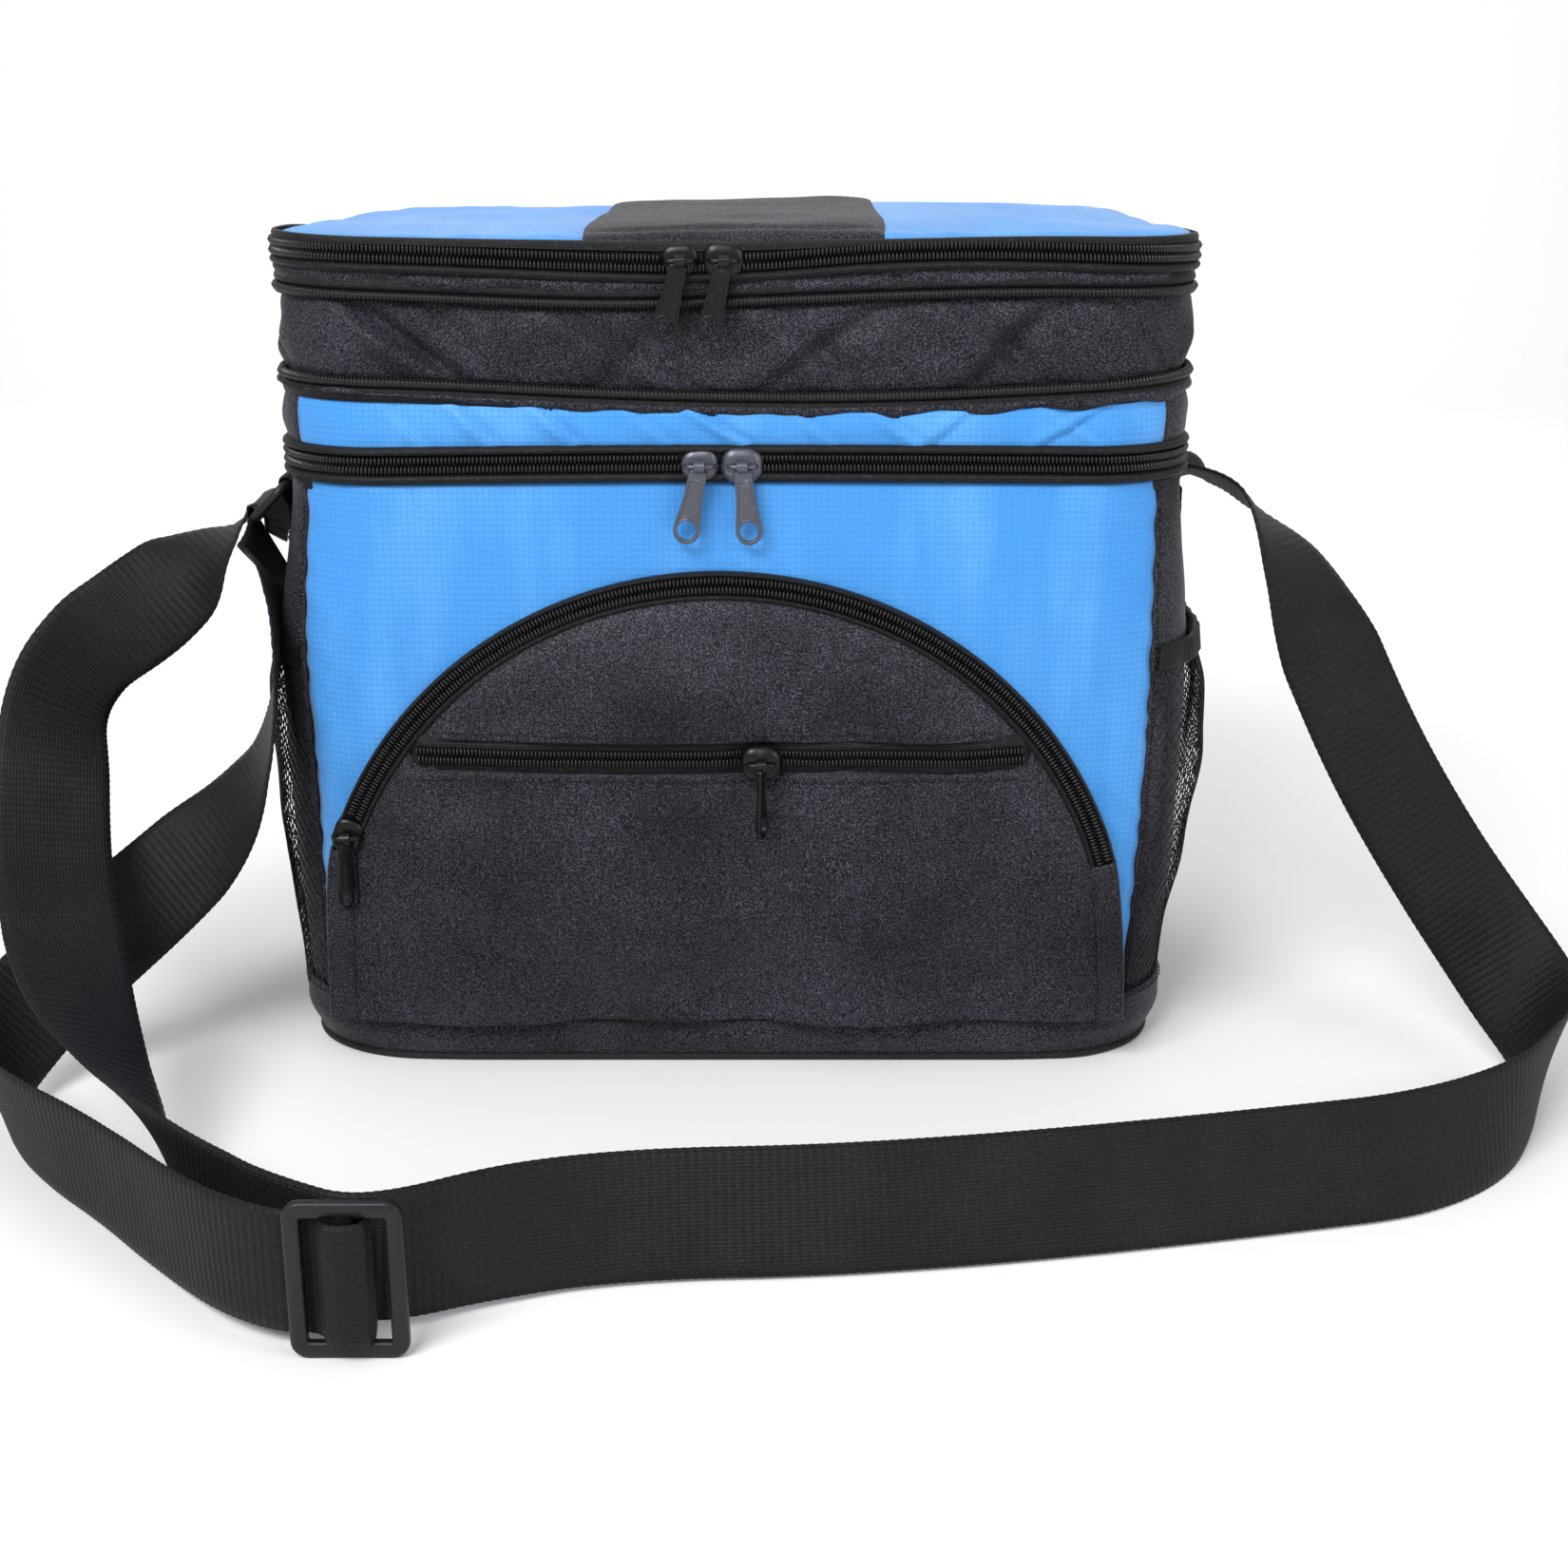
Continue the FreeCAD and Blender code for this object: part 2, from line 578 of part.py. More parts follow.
def front_pair(prefix, level):
    """Two sliders that meet on the front, with their pulls."""
    pieces = []
    line = "-bag_depth / 2 - tape / 2"
    pair = prefix + "_pair"
    for side, x in (("left", pair + " - slider_length / 2 - 1"),
                    ("right", pair + " + slider_length / 2 + 1")):
        pieces.append(place(slider("%s_slider_%s" % (prefix, side)), x, line, level))
        pieces.append(place(pull("%s_pull_%s" % (prefix, side)), x, line + " - (%s)" % KNUCKLE, level))
    return pieces


ARC_PARK = 158.5    # angle on the arc where the pocket slider is parked


def single_sliders():
    """The sliders of the arc zip, the face zip and the expansion zip."""
    arc_y = "-bag_depth / 2 + arc_inset"
    park_x = "pocket_shift + arc_radius * cos(%s)" % ARC_PARK
    park_z = "arc_height + arc_radius * sin(%s)" % ARC_PARK
    lean = 90 - ARC_PARK
    arc_slider = place(slider("pocket_slider", arch_turn=-lean), park_x, arc_y, park_z, turn_y=lean)
    arc_pull = place(pull("pocket_pull"), park_x, arc_y + " - (%s)" % KNUCKLE, park_z)
    face_y = "-bag_depth / 2 + flap_inset + 0.7"
    face_slider = place(slider("face_slider"), "pocket_shift + 14", face_y, "face_zip")
    face_pull = place(pull("face_pull"), "pocket_shift + 14", face_y + " - (%s)" % KNUCKLE, "face_zip")
    rear_y = "bag_depth / 2 + tape / 2"
    rear_slider = place(slider("expansion_slider"), "70", rear_y, "expansion_zip", turn_z=180)
    rear_pull = place(pull("expansion_pull"), "70", rear_y + " + (%s)" % KNUCKLE, "expansion_zip",
                      turn_z=180)
    return [arc_slider, arc_pull, face_slider, face_pull, rear_slider, rear_pull]


# ---- the shoulder strap --------------------------------------------------------

GLIDE_X = -103
GLIDE_Y = -288

# The webbing's middle line from the right anchor, along the floor in front of
# the bag, behind the adjuster and up to the ring.
LONG_RUN = [
    (158, -40, 203), (177, -49, 197), (193, -61, 177), (206, -73, 145), (224, -81, 107),
    (247, -87, 70), (270, -96, 38), (280, -120, 22), (269, -153, 17), (247, -184, 17),
    (213, -205, 17), (172, -214, 17), (124, -224, 17), (75, -233, 17), (25, -240, 17),
    (-24, -243, 18), (-62, -253, 20), (-100, -280, 24), (-124, -267, 24), (-143, -253, 24),
    (-164, -232, 28), (-184, -207, 40), (-203, -183, 54), (-218, -153, 69), (-229, -123, 85),
    (-236, -95, 106), (-239, -75, 128), (-230, -61, 143), (-214, -55, 153), (-199, -50, 165),
    (-188, -45, 176), (-178, -40, 183),
]

# The doubled part, from the ring down and round to the adjuster.
DOUBLED_RUN = [
    (-167, -41, 176), (-165, -52, 169), (-161, -66, 164), (-158, -80, 150), (-160, -86, 128),
    (-165, -88, 108), (-176, -89, 90), (-191, -92, 75), (-207, -96, 61), (-224, -102, 47),
    (-239, -111, 34), (-249, -126, 24), (-250, -147, 18), (-239, -171, 17), (-219, -194, 18),
    (-196, -215, 19), (-175, -237, 20), (-156, -259, 22), (-140, -275, 24), (-123.5, -286, 24),
]


def arc_edges(points):
    """Straight edges between points, joined by tangent arcs, and their radii."""
    points = [Vector(*point) for point in points]
    edges = []
    radii = []
    begin = points[0]
    for before, corner, after in zip(points, points[1:], points[2:]):
        arriving = (corner - before).normalize()
        leaving = (after - corner).normalize()
        turn = math.acos(max(-1.0, min(1.0, arriving.dot(leaving))))
        reach = 0.45 * min((corner - before).Length, (after - corner).Length)
        radius = reach / math.tan(turn / 2)
        entry = corner - arriving * reach
        leave = corner + leaving * reach
        inward = (leaving - arriving).normalize()
        middle = corner + inward * (radius / math.cos(turn / 2) - radius)
        edges.append(Part.LineSegment(begin, entry).toShape())
        edges.append(Part.Arc(entry, middle, leave).toShape())
        radii.append(radius)
        begin = leave
    edges.append(Part.LineSegment(begin, points[-1]).toShape())
    return edges, radii


def webbing_tube(label, points):
    """A round tube with the webbing's own section area along its middle line."""
    edges, radii = arc_edges(points)
    path = Part.Wire(edges)
    area = size("webbing_width") * size("webbing_thick")
    radius = math.sqrt(area / math.pi)
    start = Vector(*points[0])
    heading = Vector(*points[1]) - start
    profile = Part.Wire([Part.Circle(start, heading, radius).toShape()])
    tube = path.makePipeShell([profile], True, True)
    feature = doc.addObject("Part::Feature", label)
    feature.Label = label
    feature.Shape = tube
    feature.Placement = Placement()
    length = sum(edge.Length for edge in edges)
    print("%s: length %.0f mm, volume over section times length %.3f, least radius %.0f"
          % (label, length, tube.Volume / (area * length), min(radii)))
    print("  radii", [round(value) for value in radii])
    return feature


def strap_adjuster():
    """The three-bar slide that the webbing is threaded through."""
    x = "%s - glide_width / 2" % GLIDE_X
    y = "%s - glide_thick / 2" % GLIDE_Y
    outer = box("glide_outer", "glide_width", "glide_thick", "glide_height", x, y, "0")
    windows = []
    opening = "(glide_width - 3 * glide_wall) / 2"
    for name, shift in (("left", "glide_wall"), ("right", "2 * glide_wall + " + opening)):
        windows.append(box("glide_window_" + name, opening, "glide_thick + 20",
                           "glide_height - 2 * glide_wall", x + " + " + shift, y + " - 10", "glide_wall"))
    return cut("strap_adjuster", outer, fuse("glide_windows", windows))


def shoulder_strap():
    """Both runs of the webbing and the adjuster."""
    return [
        webbing_tube("shoulder_strap", LONG_RUN),
        webbing_tube("strap_doubled_end", DOUBLED_RUN),
        strap_adjuster(),
    ]


# ---- the whole bag --------------------------------------------------------------

def check_document():
    """Stop at the first object that failed to compute."""
    for item in doc.Objects:
        if "Invalid" in item.State or "Error" in item.State:
            raise RuntimeError("%s is not valid: %s" % (item.Name, item.State))


def write_parts(nodes):
    """Write each node's solid to its own file."""
    os.makedirs("parts", exist_ok=True)
    for node in nodes:
        shape = node.Shape
        if shape.isNull() or not shape.isValid() or not shape.Solids:
            raise RuntimeError("%s has no valid solid" % node.Label)
        shape.exportStep("parts/%s.step" % node.Label)
    print("%d nodes written" % len(nodes))


def build():
    """Every sub-part of the bag."""
    nodes = lower_compartment() + upper_compartment() + rim_and_lid()
    nodes += zips_round_the_bag()
    nodes += front_pocket()
    nodes += mesh_pocket("left", -1) + mesh_pocket("right", 1)
    nodes += strap_anchors() + strap_ring() + handle()
    nodes += front_pair("lid", "lid_zip") + front_pair("mid", "mid_zip") + single_sliders()
    nodes += shoulder_strap()
    doc.recompute()
    check_document()
    write_parts(nodes)


build()
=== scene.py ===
import math

import bmesh
import bpy
import numpy as np
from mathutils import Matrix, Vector, noise


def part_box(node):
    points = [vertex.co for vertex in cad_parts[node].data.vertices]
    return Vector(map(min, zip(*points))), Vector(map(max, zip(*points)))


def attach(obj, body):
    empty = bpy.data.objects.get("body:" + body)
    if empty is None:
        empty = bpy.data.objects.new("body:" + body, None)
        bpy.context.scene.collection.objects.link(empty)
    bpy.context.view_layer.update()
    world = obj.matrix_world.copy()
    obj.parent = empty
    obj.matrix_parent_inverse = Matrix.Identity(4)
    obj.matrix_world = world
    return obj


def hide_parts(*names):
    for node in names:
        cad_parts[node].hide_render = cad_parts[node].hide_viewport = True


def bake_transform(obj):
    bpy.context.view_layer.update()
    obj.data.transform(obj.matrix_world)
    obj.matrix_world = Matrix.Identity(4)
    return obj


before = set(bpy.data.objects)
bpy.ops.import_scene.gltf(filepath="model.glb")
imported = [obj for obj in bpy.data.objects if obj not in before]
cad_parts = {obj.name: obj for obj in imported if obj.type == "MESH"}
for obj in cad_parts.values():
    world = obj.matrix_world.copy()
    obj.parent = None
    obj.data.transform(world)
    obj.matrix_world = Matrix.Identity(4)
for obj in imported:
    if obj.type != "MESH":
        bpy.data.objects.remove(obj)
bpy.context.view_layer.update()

MM = 0.001          # lengths below are in millimetres unless they say otherwise
TAU = 2 * math.pi


# ---- meshes -------------------------------------------------------------------

def piece(name, points, faces, material, uv=None):
    """A smooth mesh object from points in millimetres; uv gives one pair of metres for each point."""
    mesh = bpy.data.meshes.new(name)
    mesh.from_pydata((np.asarray(points, float) * MM).tolist(), [], [list(map(int, f)) for f in faces])
    mesh.materials.append(material)
    if uv is not None:
        layer = mesh.uv_layers.new(name="UVMap")
        index = np.empty(len(mesh.loops), np.int32)
        mesh.loops.foreach_get("vertex_index", index)
        layer.data.foreach_set("uv", np.asarray(uv, np.float32)[index].ravel())
    mesh.update()
    mesh.shade_smooth()
    made = bpy.data.objects.new(name, mesh)
    bpy.context.scene.collection.objects.link(made)
    return made


def grid_faces(rows, columns, close_rows=False, close_columns=False):
    """Quads over a rows by columns block of points."""
    r = np.arange(rows if close_rows else rows - 1)
    c = np.arange(columns if close_columns else columns - 1)
    r, c = (m.ravel() for m in np.meshgrid(r, c, indexing="ij"))
    nr, nc = (r + 1) % rows, (c + 1) % columns
    return np.stack([r * columns + c, r * columns + nc, nr * columns + nc, nr * columns + c], 1)


def grid(name, points, material, uv=None, flip=False, **closed):
    """A mesh over an array of points (rows, columns, 3)."""
    rows, columns = points.shape[:2]
    faces = grid_faces(rows, columns, **closed)
    if flip:
        faces = faces[:, ::-1]
    return piece(name, points.reshape(-1, 3), faces, material,
                 None if uv is None else np.asarray(uv).reshape(-1, 2))


def join(name, parts, material):
    """One mesh from (points, faces) pairs."""
    points, faces, base = [], [], 0
    for p, f in parts:
        points.append(np.asarray(p, float).reshape(-1, 3))
        faces += [[int(i) + base for i in face] for face in f]
        base += len(points[-1])
    return piece(name, np.concatenate(points), faces, material)


def repeat(template, faces, frames):
    """Copies of a template: frames are (place, x axis, y axis, z axis), each with a row for each copy."""
    place, ax, ay, az = (np.asarray(f, float)[:, None] for f in frames)
    t = np.asarray(template, float)[None]
    points = place + t[..., 0:1] * ax + t[..., 1:2] * ay + t[..., 2:3] * az
    index = [[i + k * len(template) for i in f] for k in range(len(place)) for f in faces]
    return points.reshape(-1, 3), index


def modifier(obj, kind, **values):
    made = obj.modifiers.new(kind.title(), kind)
    for key, value in values.items():
        setattr(made, key, value)


def solid(obj, thick):
    """Give cloth its thickness in millimetres, behind the surface that was drawn."""
    modifier(obj, "SOLIDIFY", thickness=thick * MM, offset=-1.0)
    return obj


def unit(v):
    v = np.asarray(v, float)
    return v / np.maximum(np.linalg.norm(v, axis=-1, keepdims=True), 1e-9)


def rough(a, b, scale, seed):
    """Smooth noise, mostly from -1 to 1, over two lengths in millimetres."""
    a, b = np.broadcast_arrays(np.asarray(a, float) / scale, np.asarray(b, float) / scale)
    values = [noise.noise((x, y, seed)) for x, y in zip(a.ravel().tolist(), b.ravel().tolist())]
    return np.array(values).reshape(a.shape) * 1.6


def smooth_step(a, b, x):
    t = np.clip((np.asarray(x, float) - a) / (b - a), 0, 1)
    return t * t * (3 - 2 * t)


def cad_box(node):
    """The lowest and the highest corner of a CAD node, in millimetres."""
    return [np.array(corner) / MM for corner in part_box(node)]


def on_body(obj, body, slot, *nodes):
    """obj rides on a body and stands for CAD nodes, which it hides; slot is not used."""
    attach(obj, body)
    if nodes:
        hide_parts(*nodes)
    return obj


# ---- materials ------------------------------------------------------------------

class Look:
    """A node material being built."""

    def __init__(self, name, color, roughness, **inputs):
        self.material = bpy.data.materials.new(name)
        self.material.use_nodes = True
        self.tree = self.material.node_tree
        self.shader = self.tree.nodes["Principled BSDF"]
        self.bump = None
        self.color = self.value(color)
        self.set("Base Color", self.color)
        self.set("Roughness", roughness)
        for key, value in inputs.items():
            self.set(key.replace("_", " "), value)

    def plug(self, value, socket):
        """Link another node's output to a socket, or set the socket to a plain value."""
        if isinstance(value, bpy.types.NodeSocket):
            self.tree.links.new(value, socket)
        else:
            socket.default_value = value

    def set(self, name, value):
        self.plug(value, self.shader.inputs[name])

    def value(self, value):
        """A colour's node, or the value as it is."""
        if not isinstance(value, tuple):
            return value
        node = self.tree.nodes.new("ShaderNodeRGB")
        node.outputs[0].default_value = (*value, 1)
        return node.outputs[0]

    def node(self, kind, out=0, links=(), **values):
        made = self.tree.nodes.new(kind)
        for key, value in values.items():
            setattr(made, key, value)
        for name, value in dict(links).items():
            self.plug(value, made.inputs[name])
        return made.outputs[out]

    def place(self, kind="Object"):
        return self.node("ShaderNodeTexCoord", kind)

    def scaled(self, coords, x=1.0, y=1.0):
        return self.node("ShaderNodeMapping", links={"Vector": coords, "Scale": (x, y, 1.0)})

    def math(self, operation, a, b=0.0):
        return self.node("ShaderNodeMath", links={0: a, 1: b}, operation=operation)

    def noise(self, coords, scale, detail=2.0, roughness=0.5):
        return self.node("ShaderNodeTexNoise", "Fac",
                         {"Vector": coords, "Scale": scale, "Detail": detail, "Roughness": roughness})

    def cells(self, coords, scale):
        return self.node("ShaderNodeTexVoronoi", "Distance", {"Vector": coords, "Scale": scale})

    def ramp(self, value, low, high, to_low=0.0, to_high=1.0):
        return self.node("ShaderNodeMapRange", links={"Value": value, "From Min": low, "From Max": high,
                                                      "To Min": to_low, "To Max": to_high})

    def blend_in(self, factor, color, blend="MIX"):
        """Put a colour over the one so far."""
        node = self.tree.nodes.new("ShaderNodeMix")
        node.data_type = "RGBA"
        node.blend_type = blend
        for key, value in ((0, factor), (6, self.color), (7, color)):
            self.plug(self.value(value), node.inputs[key])
        self.color = node.outputs[2]
        self.set("Base Color", self.color)

    def tint(self, factor, color):
        """Mix a colour in by factor."""
        self.blend_in(factor, color)

    def shade(self, factor):
        """Multiply the colour by a value."""
        grey = self.node("ShaderNodeCombineColor", links={"Red": factor, "Green": factor, "Blue": factor})
        self.blend_in(1.0, grey, "MULTIPLY")

    def raise_by(self, height, depth):
        """Add a bump of a depth in millimetres."""
        links = {"Height": height, "Distance": depth * MM, "Strength": 1.0}
        if self.bump is not None:
            links["Normal"] = self.bump
        self.bump = self.node("ShaderNodeBump", links=links)
        self.set("Normal", self.bump)

    def lines(self, coordinate, pitch, share, soft=0.12):
        """1 on lines of a share of the pitch (metres), 0 between."""
        phase = self.math("FRACT", self.math("DIVIDE", coordinate, pitch))
        away = self.math("ABSOLUTE", self.math("SUBTRACT", phase, 0.5))
        return self.ramp(away, share / 2 + soft, share / 2)

    def waves(self, coordinate, pitch):
        return self.math("SINE", self.math("MULTIPLY", coordinate, TAU / pitch))

    def uv(self):
        """The coordinates along the cloth, and its two lengths in metres."""
        coords = self.place("UV")
        node = self.tree.nodes.new("ShaderNodeSeparateXYZ")
        self.tree.links.new(coords, node.inputs[0])
        return coords, node.outputs[0], node.outputs[1]


RIPSTOP_PITCH = 0.0021      # of the grid of thicker threads, in metres
YARN_PITCH = 0.0011         # of the webbing's yarns, in metres
TAPE_RIB = 0.0009           # of the zip tape's ribs, in metres


def ripstop():
    """Light blue ripstop: a plain weave with a grid of thicker threads, and painted sheen streaks."""
    look = Look("blue_ripstop", (0.058, 0.285, 0.70), 0.46,
                Sheen_Weight=0.12, Sheen_Roughness=0.4, Specular_IOR_Level=0.28)
    coords, u, v = look.uv()
    grid_lines = look.math("MAXIMUM", *(look.lines(c, RIPSTOP_PITCH, 0.14) for c in (u, v)))
    fine = look.noise(look.scaled(coords), 1500, 2)
    painted_sheen_streak = look.noise(look.scaled(coords, 30, 7), 1.0, 3, 0.6)
    patch = look.noise(look.scaled(coords, 14, 9), 1.0, 2)
    # lighter streaks up and down the cloth: painted sheen streaks
    look.tint(look.ramp(painted_sheen_streak, 0.45, 0.66, 0.0, 0.5), (0.13, 0.41, 0.86))
    look.tint(look.ramp(patch, 0.5, 0.75, 0.0, 0.35), (0.035, 0.26, 0.77))
    look.tint(look.math("MULTIPLY", grid_lines, 0.32), (0.025, 0.22, 0.66))
    look.shade(look.ramp(fine, 0.3, 0.7, 0.93, 1.06))
    look.set("Roughness", look.ramp(patch, 0.3, 0.7, 0.36, 0.5))
    look.raise_by(grid_lines, 0.07)
    look.raise_by(fine, 0.05)
    return look.material


def polyester(name="black_polyester", level=1.0):
    """Black 600 denier polyester: coarse speckled weave with partly painted glints, and a painted mottled
    sheen and soft shade.
    """
    ground = (0.0062 * level, 0.0062 * level, 0.0082 * level)
    look = Look(name, ground, 0.62, Sheen_Weight=0.02, Sheen_Roughness=0.5, Specular_IOR_Level=0.13)
    coords = look.place()
    speck = look.noise(coords, 1900, 1, 0.5)
    painted_sheen_mottle = look.noise(coords, 24, 3, 0.5)
    # lighter specks of the weave, partly painted glints on the yarn crowns
    look.tint(look.ramp(speck, 0.45, 0.85), (0.098 * level, 0.098 * level, 0.132 * level))
    # the broad mottle darkens and lightens the colour: painted sheen and soft shading
    look.shade(look.ramp(painted_sheen_mottle, 0.32, 0.68, 0.7, 1.35))
    look.set("Roughness", look.ramp(speck, 0.35, 0.65, 0.62, 0.40))
    look.raise_by(speck, 0.16)
    look.raise_by(painted_sheen_mottle, 0.5)
    return look.material


def webbing():
    """Ribbed black webbing: the ribs are in the mesh, the yarn is here."""
    look = Look("black_webbing", (0.0042, 0.0042, 0.005), 0.55,
                Sheen_Weight=0.02, Sheen_Roughness=0.4, Specular_IOR_Level=0.2)
    coords, _, v = look.uv()
    yarn = look.waves(v, YARN_PITCH)
    fine = look.noise(look.scaled(coords), 1300, 2)
    painted_sheen_mottle = look.noise(coords, 40, 2)
    look.tint(look.ramp(fine, 0.5, 0.75, 0.0, 0.6), (0.026, 0.026, 0.028))
    # the broad mottle darkens and lightens the colour: painted sheen
    look.shade(look.ramp(painted_sheen_mottle, 0.3, 0.7, 0.8, 1.25))
    look.raise_by(yarn, 0.05)
    look.raise_by(fine, 0.08)
    return look.material


def tape():
    """Woven zip tape and rolled edges: fine lengthways ribs."""
    look = Look("zip_tape", (0.004, 0.004, 0.0048), 0.62,
                Sheen_Weight=0.04, Sheen_Roughness=0.4, Specular_IOR_Level=0.24)
    v = look.uv()[2]
    fine = look.noise(look.place(), 1100, 2, 0.6)
    look.tint(look.ramp(fine, 0.5, 0.72, 0.0, 0.6), (0.032, 0.032, 0.037))
    look.raise_by(look.waves(v, TAPE_RIB), 0.04)
    look.raise_by(fine, 0.12)
    return look.material


def coil():
    """Shiny nylon coil."""
    look = Look("zip_coil", (0.006, 0.006, 0.007), 0.34, Specular_IOR_Level=0.4)
    fine = look.noise(look.place(), 420, 2)
    look.shade(look.ramp(fine, 0.3, 0.7, 0.7, 1.4))
    look.set("Roughness", look.ramp(fine, 0.3, 0.7, 0.26, 0.42))
    look.raise_by(fine, 0.04)
    return look.material


def plastic():
    """Satin moulded plastic with a fine grain."""
    look = Look("black_plastic", (0.0065, 0.0065, 0.0075), 0.38, Specular_IOR_Level=0.35)
    grain = look.noise(look.place(), 1700, 2)
    wear = look.noise(look.place(), 90, 4, 0.7)
    look.tint(look.ramp(wear, 0.55, 0.8, 0.0, 0.3), (0.04, 0.04, 0.045))
    look.set("Roughness", look.ramp(wear, 0.3, 0.7, 0.32, 0.5))
    look.raise_by(grain, 0.02)
    return look.material


def metal(name, color, roughness, worn):
    """Painted zinc with small chips that show lighter metal."""
    look = Look(name, color, roughness, Metallic=0.55, Coat_Weight=0.12, Coat_Roughness=0.3)
    grain = look.noise(look.place(), 1300, 3, 0.7)
    wear = look.noise(look.place(), 330, 4, 0.75)
    look.tint(look.ramp(wear, 0.60, 0.72, 0.0, 0.6), worn)
    look.set("Roughness", look.ramp(grain, 0.3, 0.7, roughness - 0.08, roughness + 0.12))
    look.raise_by(grain, 0.035)
    return look.material


def foil():
    """Silver lining film, crinkled."""
    look = Look("silver_liner", (0.50, 0.52, 0.54), 0.34, Metallic=0.8)
    coords = look.place()
    fold = look.cells(coords, 70.0)
    soft = look.noise(coords, 120, 4, 0.6)
    look.shade(look.ramp(soft, 0.3, 0.7, 0.85, 1.08))
    look.set("Roughness", look.ramp(soft, 0.3, 0.7, 0.3, 0.46))
    look.raise_by(fold, 0.5)
    look.raise_by(soft, 0.5)
    return look.material


def foam():
    """White open-cell foam."""
    look = Look("foam", (0.78, 0.78, 0.76), 0.85)
    cells = look.cells(look.place(), 700.0)
    look.shade(look.ramp(cells, 0.0, 0.6, 0.8, 1.05))
    look.raise_by(cells, 0.25)
    return look.material


def thread():
    """Twisted sewing thread."""
    look = Look("black_thread", (0.008, 0.008, 0.009), 0.6, Specular_IOR_Level=0.3)
    twist = look.noise(look.place(), 2500, 2)
    look.shade(look.ramp(twist, 0.3, 0.7, 0.7, 1.4))
    look.raise_by(twist, 0.05)
    return look.material


M = {       # the materials
    "blue": ripstop(), "black": polyester(), "webbing": webbing(), "tape": tape(), "coil": coil(),
    "plastic": plastic(), "foil": foil(), "foam": foam(),
    "gunmetal": metal("gunmetal", (0.085, 0.09, 0.115), 0.34, (0.34, 0.35, 0.40)),
    "black_metal": metal("black_metal", (0.006, 0.006, 0.007), 0.32, (0.05, 0.05, 0.055)),
    "thread": thread(),
    "mesh": polyester("black_mesh", 0.9),
}


# ---- camera, light and floor ------------------------------------------------------

CAMERA_AT = (0.0161, -0.8116, 0.337)        # metres
CAMERA_DOWN = 18.1                          # degrees below level
SENSOR, LENS = 36, 50.18
FLOOR_REACH = 9000.0        # of the floor to each side and in front
BEND_START, BEND_RADIUS, BACKDROP_TOP = 1500.0, 900.0, 3000.0      # where the floor curves up behind


def camera():
    """The photograph's view: in front of the bag, a little above it."""
    data = bpy.data.cameras.new("camera")
    data.sensor_width = SENSOR
    data.lens = LENS
    data.clip_start = 0.01
    made = bpy.data.objects.new("camera", data)
    bpy.context.scene.collection.objects.link(made)
    made.location = CAMERA_AT
    made.rotation_euler = (math.radians(90 - CAMERA_DOWN), 0, 0)
    bpy.context.scene.camera = made


def softbox(name, place, aim, size, watts):
    """A rectangular lamp; lengths in metres."""
    data = bpy.data.lights.new(name, "AREA")
    data.shape = "RECTANGLE"
    data.size, data.size_y = size
    data.energy = watts
    made = bpy.data.objects.new(name, data)
    made.location = place
    made.rotation_euler = (Vector(aim) - Vector(place)).to_track_quat("-Z", "Y").to_euler()
    bpy.context.scene.collection.objects.link(made)


def studio():
    """A plain pale floor that curves up behind, soft lights and a pale surround."""
    across = np.linspace(-FLOOR_REACH, FLOOR_REACH, 9)
    along = [(-FLOOR_REACH, 0.0)] + [(y, 0.0) for y in np.linspace(-2500, BEND_START, 9)]
    for a in np.radians(np.linspace(0, 90, 13)[1:]):
        along.append((BEND_START + BEND_RADIUS * math.sin(a), BEND_RADIUS * (1 - math.cos(a))))
    along.append((BEND_START + BEND_RADIUS, BACKDROP_TOP))
    points = np.array([[(x, y, z) for x in across] for y, z in along])
    look = Look("studio_floor", (0.86, 0.86, 0.86), 0.7)
    grid("studio_floor", points, look.material)
    world = bpy.data.worlds.new("studio")
    world.use_nodes = True
    background = world.node_tree.nodes["Background"]
    background.inputs["Color"].default_value = (1, 1, 1, 1)
    background.inputs["Strength"].default_value = 0.52
    bpy.context.scene.world = world
    for lamp in (("key", (-0.7, -1.3, 1.5), (0, 0, 0.12), (1.0, 0.7), 33),
                 ("fill", (1.3, -1.1, 0.9), (0, 0, 0.12), (0.9, 0.9), 9),
                 ("top", (0.1, 0.2, 1.6), (0, 0, 0.1), (1.2, 0.7), 2.5),
                 ("backdrop_light", (0, 0.55, 1.6), (0, 1.55, 1.13), (2.4, 0.6), 22)):
        softbox(*lamp)
    bpy.context.scene.view_settings.view_transform = "Standard"


camera()
studio()


# ---- the shoulder strap ------------------------------------------------------------

WEBBING_WIDTH = 38.0
WEBBING_THICK = 1.5
RIB, RIB_HEIGHT = 2.7, 0.17         # pitch of the cross ribs, and their height on each face
EDGE_WAVE = 0.004                   # share of the half width by which the woven edges wave

LONG_RUN = [
    (154.8, -36, 178), (154.2, -36, 195), (158, -40, 203), (177, -49, 197), (193, -61, 177),
    (206, -73, 145), (224, -81, 107), (247, -87, 70), (270, -96, 38), (280, -120, 22),
    (269, -153, 19.4), (247, -184, 19),
    (213, -205, 18.6), (172, -214, 18.4), (124, -224, 18.2), (75, -233, 18.2), (25, -240, 18.4),
    (-24, -243, 19), (-62, -253, 20), (-100, -280, 24), (-124, -267, 24), (-143, -253, 24),
    (-164, -232, 28), (-184, -207, 40), (-203, -183, 54), (-218, -153, 69), (-229, -123, 85),
    (-236, -95, 106), (-239, -75, 128), (-230, -61, 143), (-214, -55, 153), (-199, -50, 165),
    (-188, -45, 176), (-178, -40, 183), (-174.5, -38, 186.5), (-171.5, -37, 191.3),
    (-166.4, -36.5, 190.6), (-165.4, -37, 184), (-166, -39, 178),
]
